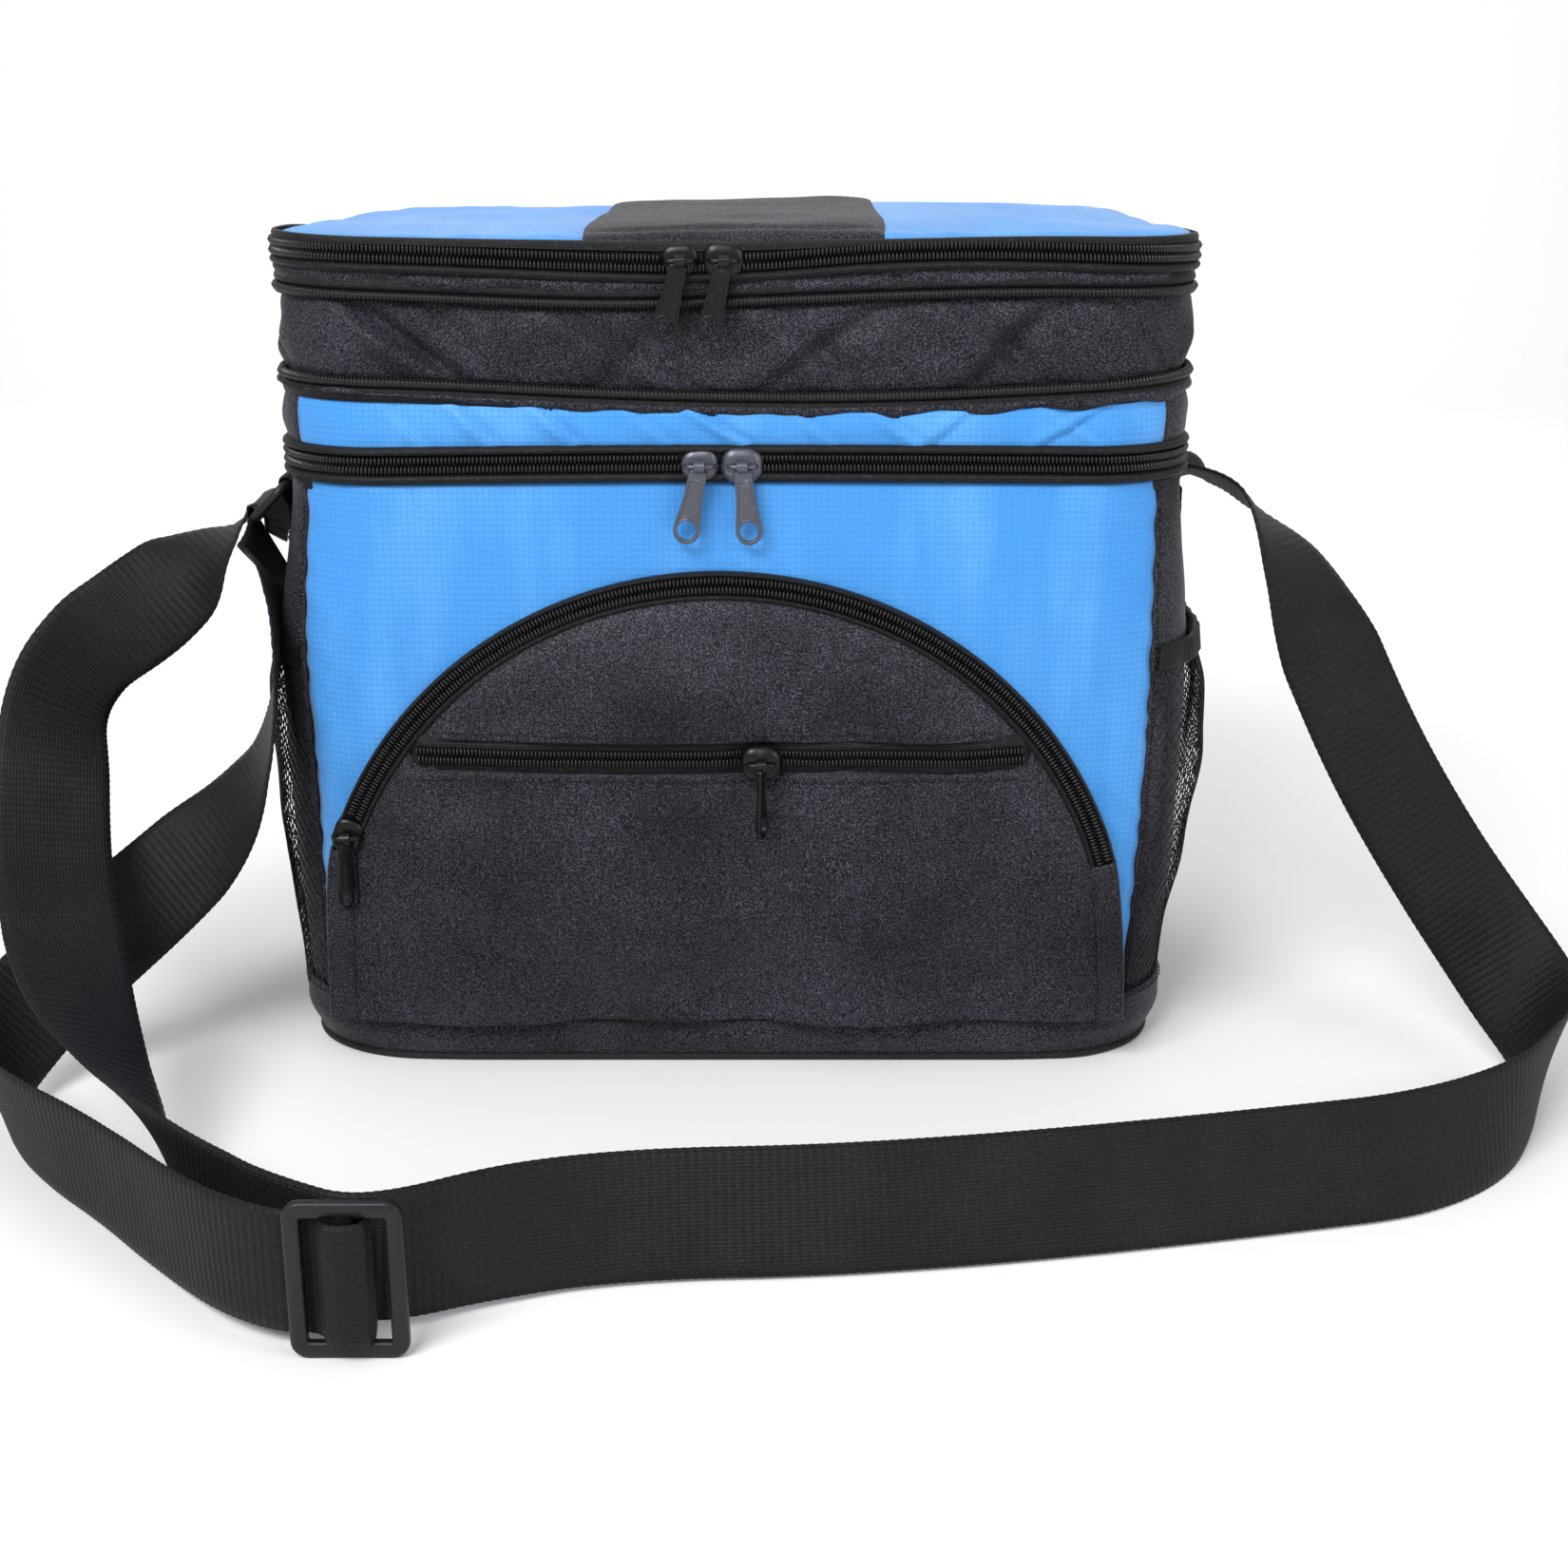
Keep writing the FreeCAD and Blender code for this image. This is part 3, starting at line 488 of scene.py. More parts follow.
# The direction across the webbing at some of the points, from its lower edge to its upper one.
LONG_ACROSS = {
    0: (0, 1, 0), 1: (0, 1, 0), 2: (0, 1, -0.25), 3: (0.05, 1, -0.2), 4: (0.55, 0.85, 0.2),
    5: (0.85, 0.35, 0.5), 7: (0.85, 0.25, 0.5), 8: (0.75, 0.1, 0.65), 9: (0.45, 0, 0.9),
    10: (0.2, 0.2, 0.95), 12: (0.05, 0.4, 0.9), 15: (0, 0.45, 0.89), 18: (0, 0.35, 0.94),
    19: (0, 0.1, 1), 21: (0, 0.05, 1), 22: (-0.25, 0, 0.95), 23: (-0.6, 0, 0.7), 25: (-0.9, 0, 0.35),
    27: (-0.85, 0, 0.45), 28: (-0.5, 0, 0.85), 29: (-0.2, 0, 1), 30: (-0.35, 0.1, 0.9),
    31: (-0.4, 0.4, 0.7), 32: (-0.3, 0.9, 0.3), 33: (0, 1, 0), 38: (0, 1, 0),
}
DOUBLED_RUN = [
    (-167, -41, 176), (-165, -52, 169), (-161, -66, 164), (-158, -80, 150), (-160, -86, 128),
    (-165, -88, 108), (-176, -89, 90), (-191, -92, 75), (-207, -96, 61), (-224, -102, 47),
    (-239, -111, 34), (-249, -126, 24), (-250, -147, 20), (-239, -171, 19.5), (-219, -194, 19.7),
    (-196, -215, 20), (-175, -237, 20), (-156, -259, 22), (-140, -275, 24), (-123.5, -286, 24),
]
DOUBLED_ACROSS = {
    0: (0, 1, 0), 3: (-0.1, 1, 0.1), 5: (-0.3, 1, 0.2), 6: (-0.5, 0.8, 0.4), 7: (-0.5, 0.5, 0.7),
    9: (-0.5, 0.2, 0.85), 11: (-0.6, 0, 0.8), 13: (-0.25, 0, 0.95), 16: (-0.1, 0.1, 1), 19: (0, 0, 1),
}
# The doubled end passes behind the adjuster's left bar and round its middle bar.
ROUND_THE_BAR = [
    (-123, -284, 24), (-114, -283.6, 24), (-110, -286, 24), (-108.5, -292, 24), (-103, -293, 24),
    (-97.5, -292, 24), (-96, -286, 24), (-98, -283.8, 24), (-103, -283.2, 24),
]


def spline_path(points):
    """Points in millimetres along the smooth line that a route's control points give."""
    data = bpy.data.curves.new("route", "CURVE")
    data.dimensions = "3D"
    data.resolution_u = 24
    spline = data.splines.new("NURBS")
    spline.points.add(len(points) - 1)
    for point, place in zip(spline.points, points):
        point.co = (*(c * MM for c in place), 1)
    spline.order_u = 3
    spline.use_endpoint_u = True
    route = bpy.data.objects.new("route", data)
    bpy.context.scene.collection.objects.link(route)
    line = bpy.data.meshes.new_from_object(route.evaluated_get(bpy.context.evaluated_depsgraph_get()))
    path = np.array([v.co[:] for v in line.vertices]) / MM
    bpy.data.objects.remove(route)
    return path


def lengths(path):
    return np.concatenate([[0], np.cumsum(np.linalg.norm(np.diff(path, axis=0), axis=1))])


def at_lengths(run, where, rows):
    """Rows that belong to the lengths in run, read off at other lengths by straight interpolation."""
    return np.column_stack([np.interp(where, run, column) for column in rows.T])


def even(path, step):
    """The path at even steps of about step."""
    run = lengths(path)
    count = max(2, int(round(run[-1] / step)) + 1)
    return at_lengths(run, np.linspace(0, run[-1], count), path)


def tangents(path):
    return unit(np.gradient(path, axis=0))


def across_field(path, controls, keys):
    """The direction across the webbing at each point of the path."""
    control_run = lengths(np.array(controls, float))
    at = np.array([control_run[i] for i in sorted(keys)]) / control_run[-1]
    values = unit(np.array([keys[i] for i in sorted(keys)]))
    run = lengths(path) / lengths(path)[-1]
    field = at_lengths(at, run, values)
    for _ in range(24):
        field[1:-1] = (field[:-2] + field[1:-1] * 2 + field[2:]) / 4
    along = tangents(path)
    return unit(field - along * (field * along).sum(1, keepdims=True))


def ribbon(name, path, across):
    """Webbing along a path: a flat closed strip with cross ribs on both faces and woven edges."""
    run = lengths(path)
    normal = unit(np.cross(tangents(path), across))
    columns = np.linspace(-1, 1, 13)
    ring, uv = [], []
    wave = np.sin(run / RIB * TAU)
    for side, order in ((1, columns), (-1, columns[::-1])):
        for c in order:
            edge = abs(c) ** 12
            lift = side * ((WEBBING_THICK / 2) * (1 - 0.62 * edge) + RIB_HEIGHT * wave * (1 - 0.75 * edge))
            out = WEBBING_WIDTH / 2 * c * (1 + EDGE_WAVE * wave * (abs(c) == 1))
            ring.append(path + across * out[:, None] + normal * lift[:, None])
            uv.append(np.column_stack([run, np.full(len(run), (c + 1) * WEBBING_WIDTH / 2)]) * MM)
    points, uv = np.stack(ring, 1), np.stack(uv, 1)
    rows, columns = points.shape[:2]
    faces = grid_faces(rows, columns, close_columns=True)[:, ::-1].tolist()
    faces += [list(range(columns)), [(rows - 1) * columns + i for i in range(columns)][::-1]]
    return piece(name, points.reshape(-1, 3), faces, M["webbing"], uv.reshape(-1, 2))


def strap_run(name, controls, keys):
    """A run of webbing along the line of its control points."""
    path = even(spline_path(controls), RIB / 4)
    made = ribbon(name, path, across_field(path, controls, keys))
    return made


def squarish(a, half_x, half_y):
    """The point at an angle on an outline between an ellipse and a rectangle."""
    c, s = math.cos(a), math.sin(a)
    return half_x * math.copysign(abs(c) ** 0.6, c), half_y * math.copysign(abs(s) ** 0.6, s)


def adjuster():
    """Three-bar slide: a rounded frame, with a ridged middle bar."""
    lo, hi = cad_box("strap_adjuster")
    centre, half = (lo + hi) / 2, (hi - lo) / 2
    corner, bar_width, middle_half, ridge = 5.0, 5.0, 2.9, 1.6
    rings = []
    for a in np.linspace(0, TAU, 16, endpoint=False):
        inward, y = squarish(a, bar_width / 2, half[1])
        inset = bar_width / 2 - inward
        outline = rounded_loop(half[0] - inset, half[2] - inset, max(corner - inset, 0.8), 9)
        rings.append(np.column_stack([outline[:, 0], np.full(len(outline), y), outline[:, 1]]))
    sides = np.stack(rings) + centre
    bar = []
    for z in np.linspace(-half[2] + 2.5, half[2] - 2.5, 60):
        depth = half[1] - 0.25 + 0.12 * math.sin(z * TAU / ridge)
        bar.append([(*squarish(a, middle_half, depth), z) for a in np.linspace(0, TAU, 12, endpoint=False)])
    bar = np.array(bar) + centre
    parts = [(sides, grid_faces(*sides.shape[:2], close_rows=True, close_columns=True)),
             (bar, grid_faces(*bar.shape[:2], close_columns=True)[:, ::-1])]
    return on_body(join("strap_slide", parts, M["plastic"]), "bag", "black_plastic", "strap_adjuster")


def shoulder_strap():
    """The adjuster, the long run and the doubled end that goes back to the ring."""
    buckle = adjuster()
    long_run = strap_run("shoulder_strap_long", LONG_RUN, LONG_ACROSS)
    on_body(long_run, "bag", "black_webbing", "shoulder_strap")
    controls = DOUBLED_RUN[:-1] + ROUND_THE_BAR
    keys = {**DOUBLED_ACROSS, len(controls) - 1: (0, 0, 1)}
    doubled = strap_run("shoulder_strap_doubled", controls, keys)
    on_body(doubled, "bag", "black_webbing", "strap_doubled_end")


# ---- the bag's outline ----------------------------------------------------------------

HALF_W, HALF_D = cad_box("lower_wrap_panel")[1][:2]
CORNER = 36.0                   # radius of the bag's upright corners
STRAIGHT, QUARTER, FLANK = HALF_W - CORNER, CORNER * math.pi / 2, 2 * (HALF_D - CORNER)
EDGES = np.cumsum([STRAIGHT, QUARTER, FLANK, QUARTER, STRAIGHT])
ROUND = 2 * EDGES[-1]           # all the way round
BLUE_LEFT, BLUE_RIGHT = -148.0, 144.0     # where the blue front is sewn to the black sides
WALL_FOOT, BAND_FOOT, PIPING_LEVEL = 13.0, 2.4, 1.5       # heights above the floor
MID_LEVEL, LID_LEVEL = 214.0, 279.4       # of the zips before they sag
EXPANSION_LOW, EXPANSION_HIGH = 241.6, 263.6      # the two halves of the expansion zip


def wrapped(s):
    """A length round the bag, brought to within half a round of the front's middle."""
    return (np.asarray(s, float) + ROUND / 2) % ROUND - ROUND / 2


def plan(s):
    """Outline point and outward normal at a length s from the front's middle, positive to the right."""
    s = wrapped(s)
    side, a = np.where(s < 0, -1.0, 1.0), np.abs(s)
    first = np.clip((a - EDGES[0]) / QUARTER, 0, 1) * math.pi / 2
    second = np.clip((a - EDGES[2]) / QUARTER, 0, 1) * math.pi / 2
    x = (np.minimum(a, STRAIGHT) + CORNER * np.sin(first) - CORNER * (1 - np.cos(second))
         - np.clip(a - EDGES[3], 0, STRAIGHT))
    y = -HALF_D + CORNER * (1 - np.cos(first)) + np.clip(a - EDGES[1], 0, FLANK) + CORNER * np.sin(second)
    return side * x, y, side * np.sin(first + second), -np.cos(first + second)


def side_bulge(s, z):
    """How far the soft sides of the lower compartment stand out, more on the left."""
    s = wrapped(s)
    most = np.where(s < 0, 6.8, 4.2)
    along = smooth_step(118, 172, np.abs(s)) * smooth_step(400, 290, np.abs(s))
    foot = np.where(s < 0, 0.9, 0.15)
    low = foot + (1 - foot) * smooth_step(10, 75, z)
    return most * along * low * (0.22 + 0.78 * smooth_step(205, 150, z)) * smooth_step(300, 262, z)


def outward(s):
    """The wall's outward direction at each length."""
    nx, ny = plan(s)[2:]
    return np.column_stack([nx, ny, 0 * nx])


def at_wall(s, z, out=0.0):
    """Points of the wall; s, z and out broadcast. Low down, the right seam leans inwards."""
    s = s - 6.0 * np.clip(1 - z / 205, 0, 1) * np.exp(-((s - BLUE_RIGHT) / 34) ** 2)
    x, y, nx, ny = plan(s)
    z = z + 0 * (x + out)
    out = out + side_bulge(s, z)
    return np.stack([x + nx * out, y + ny * out, z], -1)


def fullness(s):
    """1 in the middle of a side, less at the corners where the cloth is tight."""
    a = np.abs(wrapped(s))
    first, second = (EDGES[0] + EDGES[1]) / 2, (EDGES[2] + EDGES[3]) / 2
    return 0.3 + 0.7 * smooth_step(8, 75, np.minimum(np.abs(a - first), np.abs(a - second)))


STATIONS = np.linspace(-150, 150, 7)


def front_line(s, heights):
    """The smoothed line through the first seven heights, from the left corner to the right one."""
    return np.mean([np.interp(s + k, STATIONS, heights[:7]) for k in range(-24, 25, 8)], axis=0)


def sag(s, heights):
    """How far a seam lies above its level: heights are for seven places in front, and for behind."""
    s = wrapped(s)
    front = smooth_step(290, 165, np.abs(s))
    return front * front_line(s, heights) + (1 - front) * heights[7]


# Heights at the seven stations in front, and behind: each seam above its level, and for the lid also how
# far its rolled edge reaches and how high the top cloth's edge lies above the zip.
LEVEL = (0,) * 8
LID_SAG = (3.0, 2.0, -0.4, -1.4, 3.2, 3.2, 0.8, -2.0)
LID_REACH = (5.2, 4.9, 6.6, 7.2, 3.4, 4.6, 6.0, 3.6)
LID_EDGE = (8.0, 6.8, 6.3, 6.2, 6.3, 7.4, 7.0, 4.2)
RIM_SAG = (4.2, 2.6, 0.2, 1.0, 3.3, 4.5, 3.6, 0)
LOW_SAG = (1.2, 0.5, -2.5, -4.0, -3.9, -1.5, 1.4, 0)
BLUE_SAG = (5.6, 2.9, -1.4, -3.0, -2.6, -1.1, 2.2, 0)
MID_SAG = (-0.8, -0.2, 0.5, 0.7, 0.6, 0.2, -0.3, 0)


def steps_up(low, high, count):
    """Heights in count steps from low to high, which are numbers or have a value for each length."""
    return low + (high - low) * np.linspace(0, 1, count + 1)[:, None]


def swell(z, low, high, power=1.0):
    """0 at two heights, 1 midway between them."""
    return np.sin(math.pi * np.clip((z - low) / (high - low), 0, 1)) ** power


def wall(name, s, z, out, material, thick, closed=False):
    """A cloth wall over lengths s and heights z (rows of z may follow s)."""
    s, z = np.asarray(s, float), np.asarray(z, float)
    if z.ndim == 1:
        z = np.repeat(z[:, None], len(s), 1)
    s = np.repeat(s[None], len(z), 0)
    made = grid(name, at_wall(s, z, out(s, z)), material, np.stack([s, z], -1) * MM, close_columns=closed)
    return solid(made, thick)


def around(step):
    """Lengths for a closed ring, from the back's middle."""
    count = int(round(ROUND / step))
    return np.arange(count) * ROUND / count - ROUND / 2


def full_round(values, more=0.0):
    """The values of a closed ring, with the first repeated at the end."""
    return np.append(values, values[0] + more)


def between(a, b, step):
    """Even steps of about step from a to b."""
    return np.linspace(a, b, max(2, int(round(abs(b - a) / step)) + 1))


# ---- sewing ------------------------------------------------------------------------

STITCH = [(-1.15, 0, -0.22), (-1.15, 0, 0.22), (-1.15, 0.2, 0), (-0.55, 0.28, -0.3), (-0.55, 0.28, 0.3),
          (-0.55, 0.62, 0), (0.55, 0.28, -0.3), (0.55, 0.28, 0.3), (0.55, 0.62, 0), (1.15, 0, -0.22),
          (1.15, 0, 0.22), (1.15, 0.2, 0)]
STITCH_FACES = [(0, 1, 2), (9, 11, 10)] + [
    tuple(3 * k + i for i in (a, b)) + tuple(3 * (k + 1) + i for i in (b, a))
    for k in range(3) for a, b in ((0, 2), (2, 1), (1, 0))]


def same(direction, points):
    """One direction for each of the points."""
    return np.tile(np.asarray(direction, float), (len(points), 1))


def stitches(name, path, out, pitch=3.1):
    """A row of lock stitches along a path, facing out."""
    run = lengths(path)
    at = np.arange(pitch, run[-1] - pitch, pitch)
    place = at_lengths(run, at, path)
    along = unit(at_lengths(run, at, tangents(path)))
    facing = unit(at_lengths(run, at, out))
    points, faces = repeat(STITCH, STITCH_FACES, (place, along, facing, np.cross(along, facing)))
    return piece(name, points, faces, M["thread"])


# ---- zips -------------------------------------------------------------------------

PITCH = 1.28                        # of the coil's turns
SLIDER_BEFORE, SLIDER_AFTER = 12.0, 26.0        # teeth left out beside the expansion slider


class Track:
    """A line with its outward and upward directions, which a zip follows."""

    def __init__(self, points, out, up):
        self.points, self.out, self.up = points, unit(out), unit(up)
        self.run = lengths(points)

    def at(self, where):
        place, out, up = (at_lengths(self.run, where, field) for field in (self.points, self.out, self.up))
        return place, unit(out), unit(up)

    def sweep(self, name, profile, material, thick=0.0, flip=False):
        """A strip through the profile's (out, up) pairs."""
        strips = [self.points + self.out * o + self.up * u for o, u in profile]
        drop = lengths(np.array([(o, u, 0) for o, u in profile], float))
        uv = np.stack([np.stack([self.run, np.full(len(self.run), d)], -1) for d in drop]) * MM
        made = grid(name, np.stack(strips), material, uv, flip=flip)
        if thick:
            solid(made, thick)
        return made


def wall_track(level, s, sagging=LEVEL, lift=0.0):
    """Along the wall at a level, out by a lift."""
    points = at_wall(s, level + sag(s, sagging), lift)
    return Track(points, outward(s), same((0, 0, 1), points))


def tooth(side):
    """One turn of the coil: along, out, up. Each row has its height, two depths and its half length."""
    levels = [(3.15, 0.25, 0.5, 0.30), (2.7, 0.3, 1.75, 0.38), (1.7, 0.3, 2.3, 0.40), (0.8, 0.3, 1.9, 0.36),
              (-0.35, 0.3, 1.15, 0.27)]
    points = []
    for up, low, high, half in levels:
        points += [(-half, low, side * up), (-half * 0.75, high, side * up), (half * 0.75, high, side * up),
                   (half, low, side * up)]
    faces = grid_faces(len(levels), 4, close_columns=True).tolist() + [[3, 2, 1, 0], [16, 17, 18, 19]]
    return points, faces if side < 0 else [f[::-1] for f in faces]


def teeth(name, track, side, spans, lift=0.0):
    """Coil turns of one half of a zip over spans of the track's length."""
    where = np.arange(PITCH * (0.25 if side < 0 else 0.75), track.run[-1], PITCH)
    keep = np.zeros(len(where), bool)
    for a, b in spans:
        keep |= (where > a) & (where < b)
    place, out, up = track.at(where[keep])
    along = np.cross(up, out) * -1
    points, faces = tooth(side)
    points, faces = repeat(points, faces, (place + out * lift, along, out, up))
    return piece(name, points, faces, M["coil"])


def tape_and_edge(node, track, side, reach, body, puff=2.3):
    """The tape behind the coil and the rolled cloth edge beside it, out to a reach."""
    edge = 3.3                      # where the tape goes under the rolled cloth
    top = reach - edge
    profile = [(0.15, 0.2), (0.2, 1.8), (0.3, edge - 0.05), (1.1, edge + 0.05),
               (puff * 0.85, edge + 0.05 + top * 0.12), (puff, edge + top * 0.35),
               (puff * 0.93, edge + top * 0.6), (puff * 0.5, edge + top * 0.9), (-0.5, edge + top)]
    made = track.sweep(node + "_tape", [(o, side * u) for o, u in profile], M["tape"], 0.9, flip=side < 0)
    on_body(made, body, "zip_chain", node)


def coil_half(name, track, side, spans, body, lift=0.0):
    """The coil of one half of a zip, over spans of the track's length, or over all of it."""
    coil_teeth = teeth(name + "_coil", track, side, spans or [(0, track.run[-1])], lift)
    on_body(coil_teeth, body, "zip_chain")


ZIP_END = EDGES[1] + (60 + HALF_D - CORNER)     # the lid and mid zips stop at y = 60 on the sides
ZIP_RUN = between(-ZIP_END, ZIP_END, 1.6)
EXPANSION_SLIDER = 70.0                         # from the back's middle, on the right side


def pair_gap(track, zip_name):
    """The two spans of a front track that leave out where two parked sliders are."""
    lo, hi = cad_box(zip_name + "_slider_left")[0][0], cad_box(zip_name + "_slider_right")[1][0]
    middle, spare = track.run[-1] / 2, 0.6
    return [(0, middle + lo - spare), (middle + hi + spare, track.run[-1])]


def round_zips():
    """The mid zip, the lid zip and the two open halves of the expansion zip."""
    mid = wall_track(MID_LEVEL, ZIP_RUN, MID_SAG, 0.3)
    tape_and_edge("mid_zip_lower", mid, -1, 6.6, "bag")
    coil_half("mid_zip_lower", mid, -1, None, "bag")
    tape_and_edge("mid_zip_upper", mid, 1, 6.2, "top_compartment")
    coil_half("mid_zip_upper", mid, 1, pair_gap(mid, "mid"), "top_compartment")
    lid_track = wall_track(LID_LEVEL, ZIP_RUN, LID_SAG, 1.4)
    tape_and_edge("lid_zip_lower", lid_track, -1, 6.2, "rim", 2.0)
    coil_half("lid_zip_lower", lid_track, -1, None, "rim")
    # the lid's rolled edge is wider in some places than in others
    upper = Track(lid_track.points, lid_track.out, lid_track.up)
    upper.up = upper.up * (sag(ZIP_RUN, LID_REACH) / 6.0)[:, None]
    tape_and_edge("lid_zip_upper", upper, 1, 6.0, "lid", 1.0)
    coil_half("lid_zip_upper", lid_track, 1, pair_gap(lid_track, "lid"), "lid")
    loop = full_round(around(1.6), ROUND)
    low = wall_track(EXPANSION_LOW, loop, LOW_SAG, 0.7)
    single_half("expansion_zip_lower", low, -1, None, "top_compartment")
    high = wall_track(EXPANSION_HIGH, loop, RIM_SAG, 0.7)
    at = (EDGES[-1] - EXPANSION_SLIDER + ROUND / 2) % ROUND
    spans = [(0, at - SLIDER_BEFORE), (at + SLIDER_AFTER, high.run[-1])]
    single_half("expansion_zip_upper", high, 1, spans, "rim")


def single_half(name, track, side, spans, body):
    """An unzipped half: its coil stands free along the tape's edge, and the tape runs into the wall."""
    profile = [(0.4, 0.35), (-0.3, 1.2), (-0.4, 2.4), (0.0, 3.4), (0.9, 3.9), (1.1, 4.8), (0.6, 6.2),
               (0.2, 8.0)]
    made = track.sweep(name + "_tape", [(o, side * u) for o, u in profile], M["tape"], 0.7, flip=side < 0)
    on_body(made, body, "zip_chain", name)
    coil_half(name, track, side, spans, body, -0.25)
    cord = [(0.75 + o, side * (1.75 + u)) for o, u in oval(1.15, 1.2, 9)]
    on_body(track.sweep(name + "_core", cord, M["tape"], flip=side > 0), body, "zip_chain")


# ---- cloth walls ---------------------------------------------------------------------

def lower_out(s, z):
    """The lower compartment's wall: padded, a little creased."""
    full = swell(z, 18, 208, 0.75)
    fold = rough(s, z * 0.35, 34, 3.0) * 0.9 + rough(s, z, 16, 8.0) * 0.28
    return (2.6 * fullness(s) + 1.2 * flank(s)) * full + fold * (0.3 + 0.7 * full)


def flank(s):
    """1 on the sides of the bag, 0 at its front and back."""
    a = np.abs(wrapped(s))
    return smooth_step(EDGES[0], EDGES[1], a) * smooth_step(EDGES[3], EDGES[2], a)


def pucker(s, z, seam, reach, depth, pitch, seed):
    """Small slanting gathers beside a vertical seam at s = seam."""
    slant = z + 0.8 * (s - seam)
    wave = np.sin(slant / pitch * TAU + 2.2 * rough(slant, 0, 21, seed))
    return depth * np.exp(-np.abs(s - seam) / reach) * wave


def blue_front_out(s, z):
    """The blue front: gathered and drawn in at its two seams."""
    out = lower_out(s, z)
    out += pucker(s, z, BLUE_LEFT, 14, 0.3, 14, 1.0) + pucker(s, z, BLUE_RIGHT, 14, 0.35, 15, 5.0)
    out -= 1.0 * np.exp(-np.minimum(s - BLUE_LEFT, BLUE_RIGHT - s) / 2.2)
    for ridge in (-119, 117):       # where the seam allowances end behind the cloth
        out += 0.5 * np.exp(-((s - ridge) / 7) ** 2)
    return out


def wrap_out(s, z):
    """The black sides and back: drawn in at their two seams."""
    edge = np.minimum(s - BLUE_RIGHT, ROUND + BLUE_LEFT - s)
    return lower_out(s, z) - 0.9 * np.exp(-edge / 2.0) + pucker(s, z, BLUE_RIGHT, 8, 0.2, 12, 5.0)


PANELS = (("front", "blue", "blue_ripstop", BLUE_LEFT, BLUE_RIGHT),
          ("wrap", "black", "black_polyester", BLUE_RIGHT, ROUND + BLUE_LEFT))


def lower_walls():
    """Cloth walls of the lower compartment and the stitches beside the upright seams."""
    for (part, cloth, slot, start, end), step, count, out in zip(
            PANELS, (2.4, 3.0), (76, 60), (blue_front_out, wrap_out)):
        s = between(start, end, step)
        z = steps_up(WALL_FOOT, MID_LEVEL - 6.4 + sag(s, MID_SAG), count)
        made = wall("lower_%s_cloth" % part, s, z, out, M[cloth], 1.0)
        on_body(made, "bag", slot, "lower_%s_panel" % part)
    for side, seam, lean in (("left", BLUE_LEFT, -1.6), ("right", BLUE_RIGHT, 1.6)):
        heights = between(20, 201, 3)
        line = np.full(len(heights), seam)
        path = at_wall(line + lean, heights, lower_out(line, heights) - 0.45)
        on_body(stitches("side_seam_" + side, path, outward(line)), "bag", "black_polyester")


UPPER_CREASES = (
    (-113, 0.9, 1.2), (-90, 0.9, 2.2), (-64, 1.0, 2.4), (-36, 1.2, 1.0), (-15, 1.5, 2.4), (18, 1.2, 1.0),
    (44, 1.3, 1.4), (80, -1.2, 1.2), (101, 1.5, 1.1), (122, -1.6, 1.6), (190, 1.4, 1.0), (-190, 1.5, 1.0),
    (250, -1.5, 1.0), (-250, 1.2, 1.0))
EXPANSION_CREASES = (
    (-122, 1.35, 4.6, 8.0), (-98, 0.9, 1.8, 7.0), (-58, 1.6, 1.8, 8.0), (-24, -0.8, 1.6, 9.0),
    (14, 0.9, 2.4, 8.0), (42, -1.3, 2.6, 9.0), (74, 1.0, 3.2, 9.0), (98, -0.9, 2.8, 8.0),
    (124, 0.9, 2.2, 7.0), (176, -0.8, 2.2, 8.0), (214, 0.9, 2.4, 9.0), (262, -1.0, 2.0, 9.0),
    (330, 0.8, 2.2, 10.0), (390, -1.0, 2.4, 11.0), (450, 0.9, 2.2, 10.0), (-180, 1.0, 2.2, 8.0),
    (-226, -0.9, 2.2, 9.0), (-290, 0.9, 2.0, 9.0), (-350, -0.8, 2.4, 11.0), (-420, 1.0, 2.2, 10.0))


def creases(s, z, top, table, ridge, groove):
    """Slanting creases: a ridge beside a groove. Each row of the table has its place at the top, its lean,
    its depth and, where they differ, its width; ridge and groove have a share, a shift and a width."""
    total = np.zeros_like(s)
    for start, lean, depth, *width in table:
        width = width[0] if width else 1.0
        along = (s - start) - (top - z) * lean
        for share, shift, reach in (ridge, groove):
            total += depth * share * np.exp(-((along + shift * width) / (reach * width)) ** 2)
    return total


def upper_out(s, z):
    """The narrow wall of the upper compartment, creased by the seams above and below."""
    crease = creases(s, z, 234, UPPER_CREASES, (0.8, 3.0, 3.4), (-0.9, -1.2, 1.5))
    fold = rough(s, z * 1.3, 13, 2.0) * 0.5
    return 0.2 + (1.9 * fullness(s) + 1.0 * flank(s) + crease + fold) * swell(z, 219, 234.5, 0.8)


def upper_walls():
    """Cloth walls of the upper compartment and the band over their top seam."""
    for (part, cloth, slot, start, end), step, top in zip(PANELS, (1.6, 2.4), (235.4, 234.2)):
        s = between(start, end, step)
        z = steps_up(MID_LEVEL + 4.6 + sag(s, MID_SAG), top + sag(s, BLUE_SAG), 14)
        made = wall("upper_%s_cloth" % part, s, z, upper_out, M[cloth], 1.0)
        on_body(made, "top_compartment", slot, "upper_%s_panel" % part)
    s = around(2.0)
    low = 232.9 + sag(s, BLUE_SAG) + 1.2 * rough(s, 0, 15, 6.0)
    top = 237.0 + sag(s, LOW_SAG)
    made = wall("expansion_seam_band", s, steps_up(low, top, 5),
                lambda s, z: 1.6 + 0.8 * swell(z, low, top), M["black"], 0.8, closed=True)
    on_body(made, "top_compartment", "black_polyester")


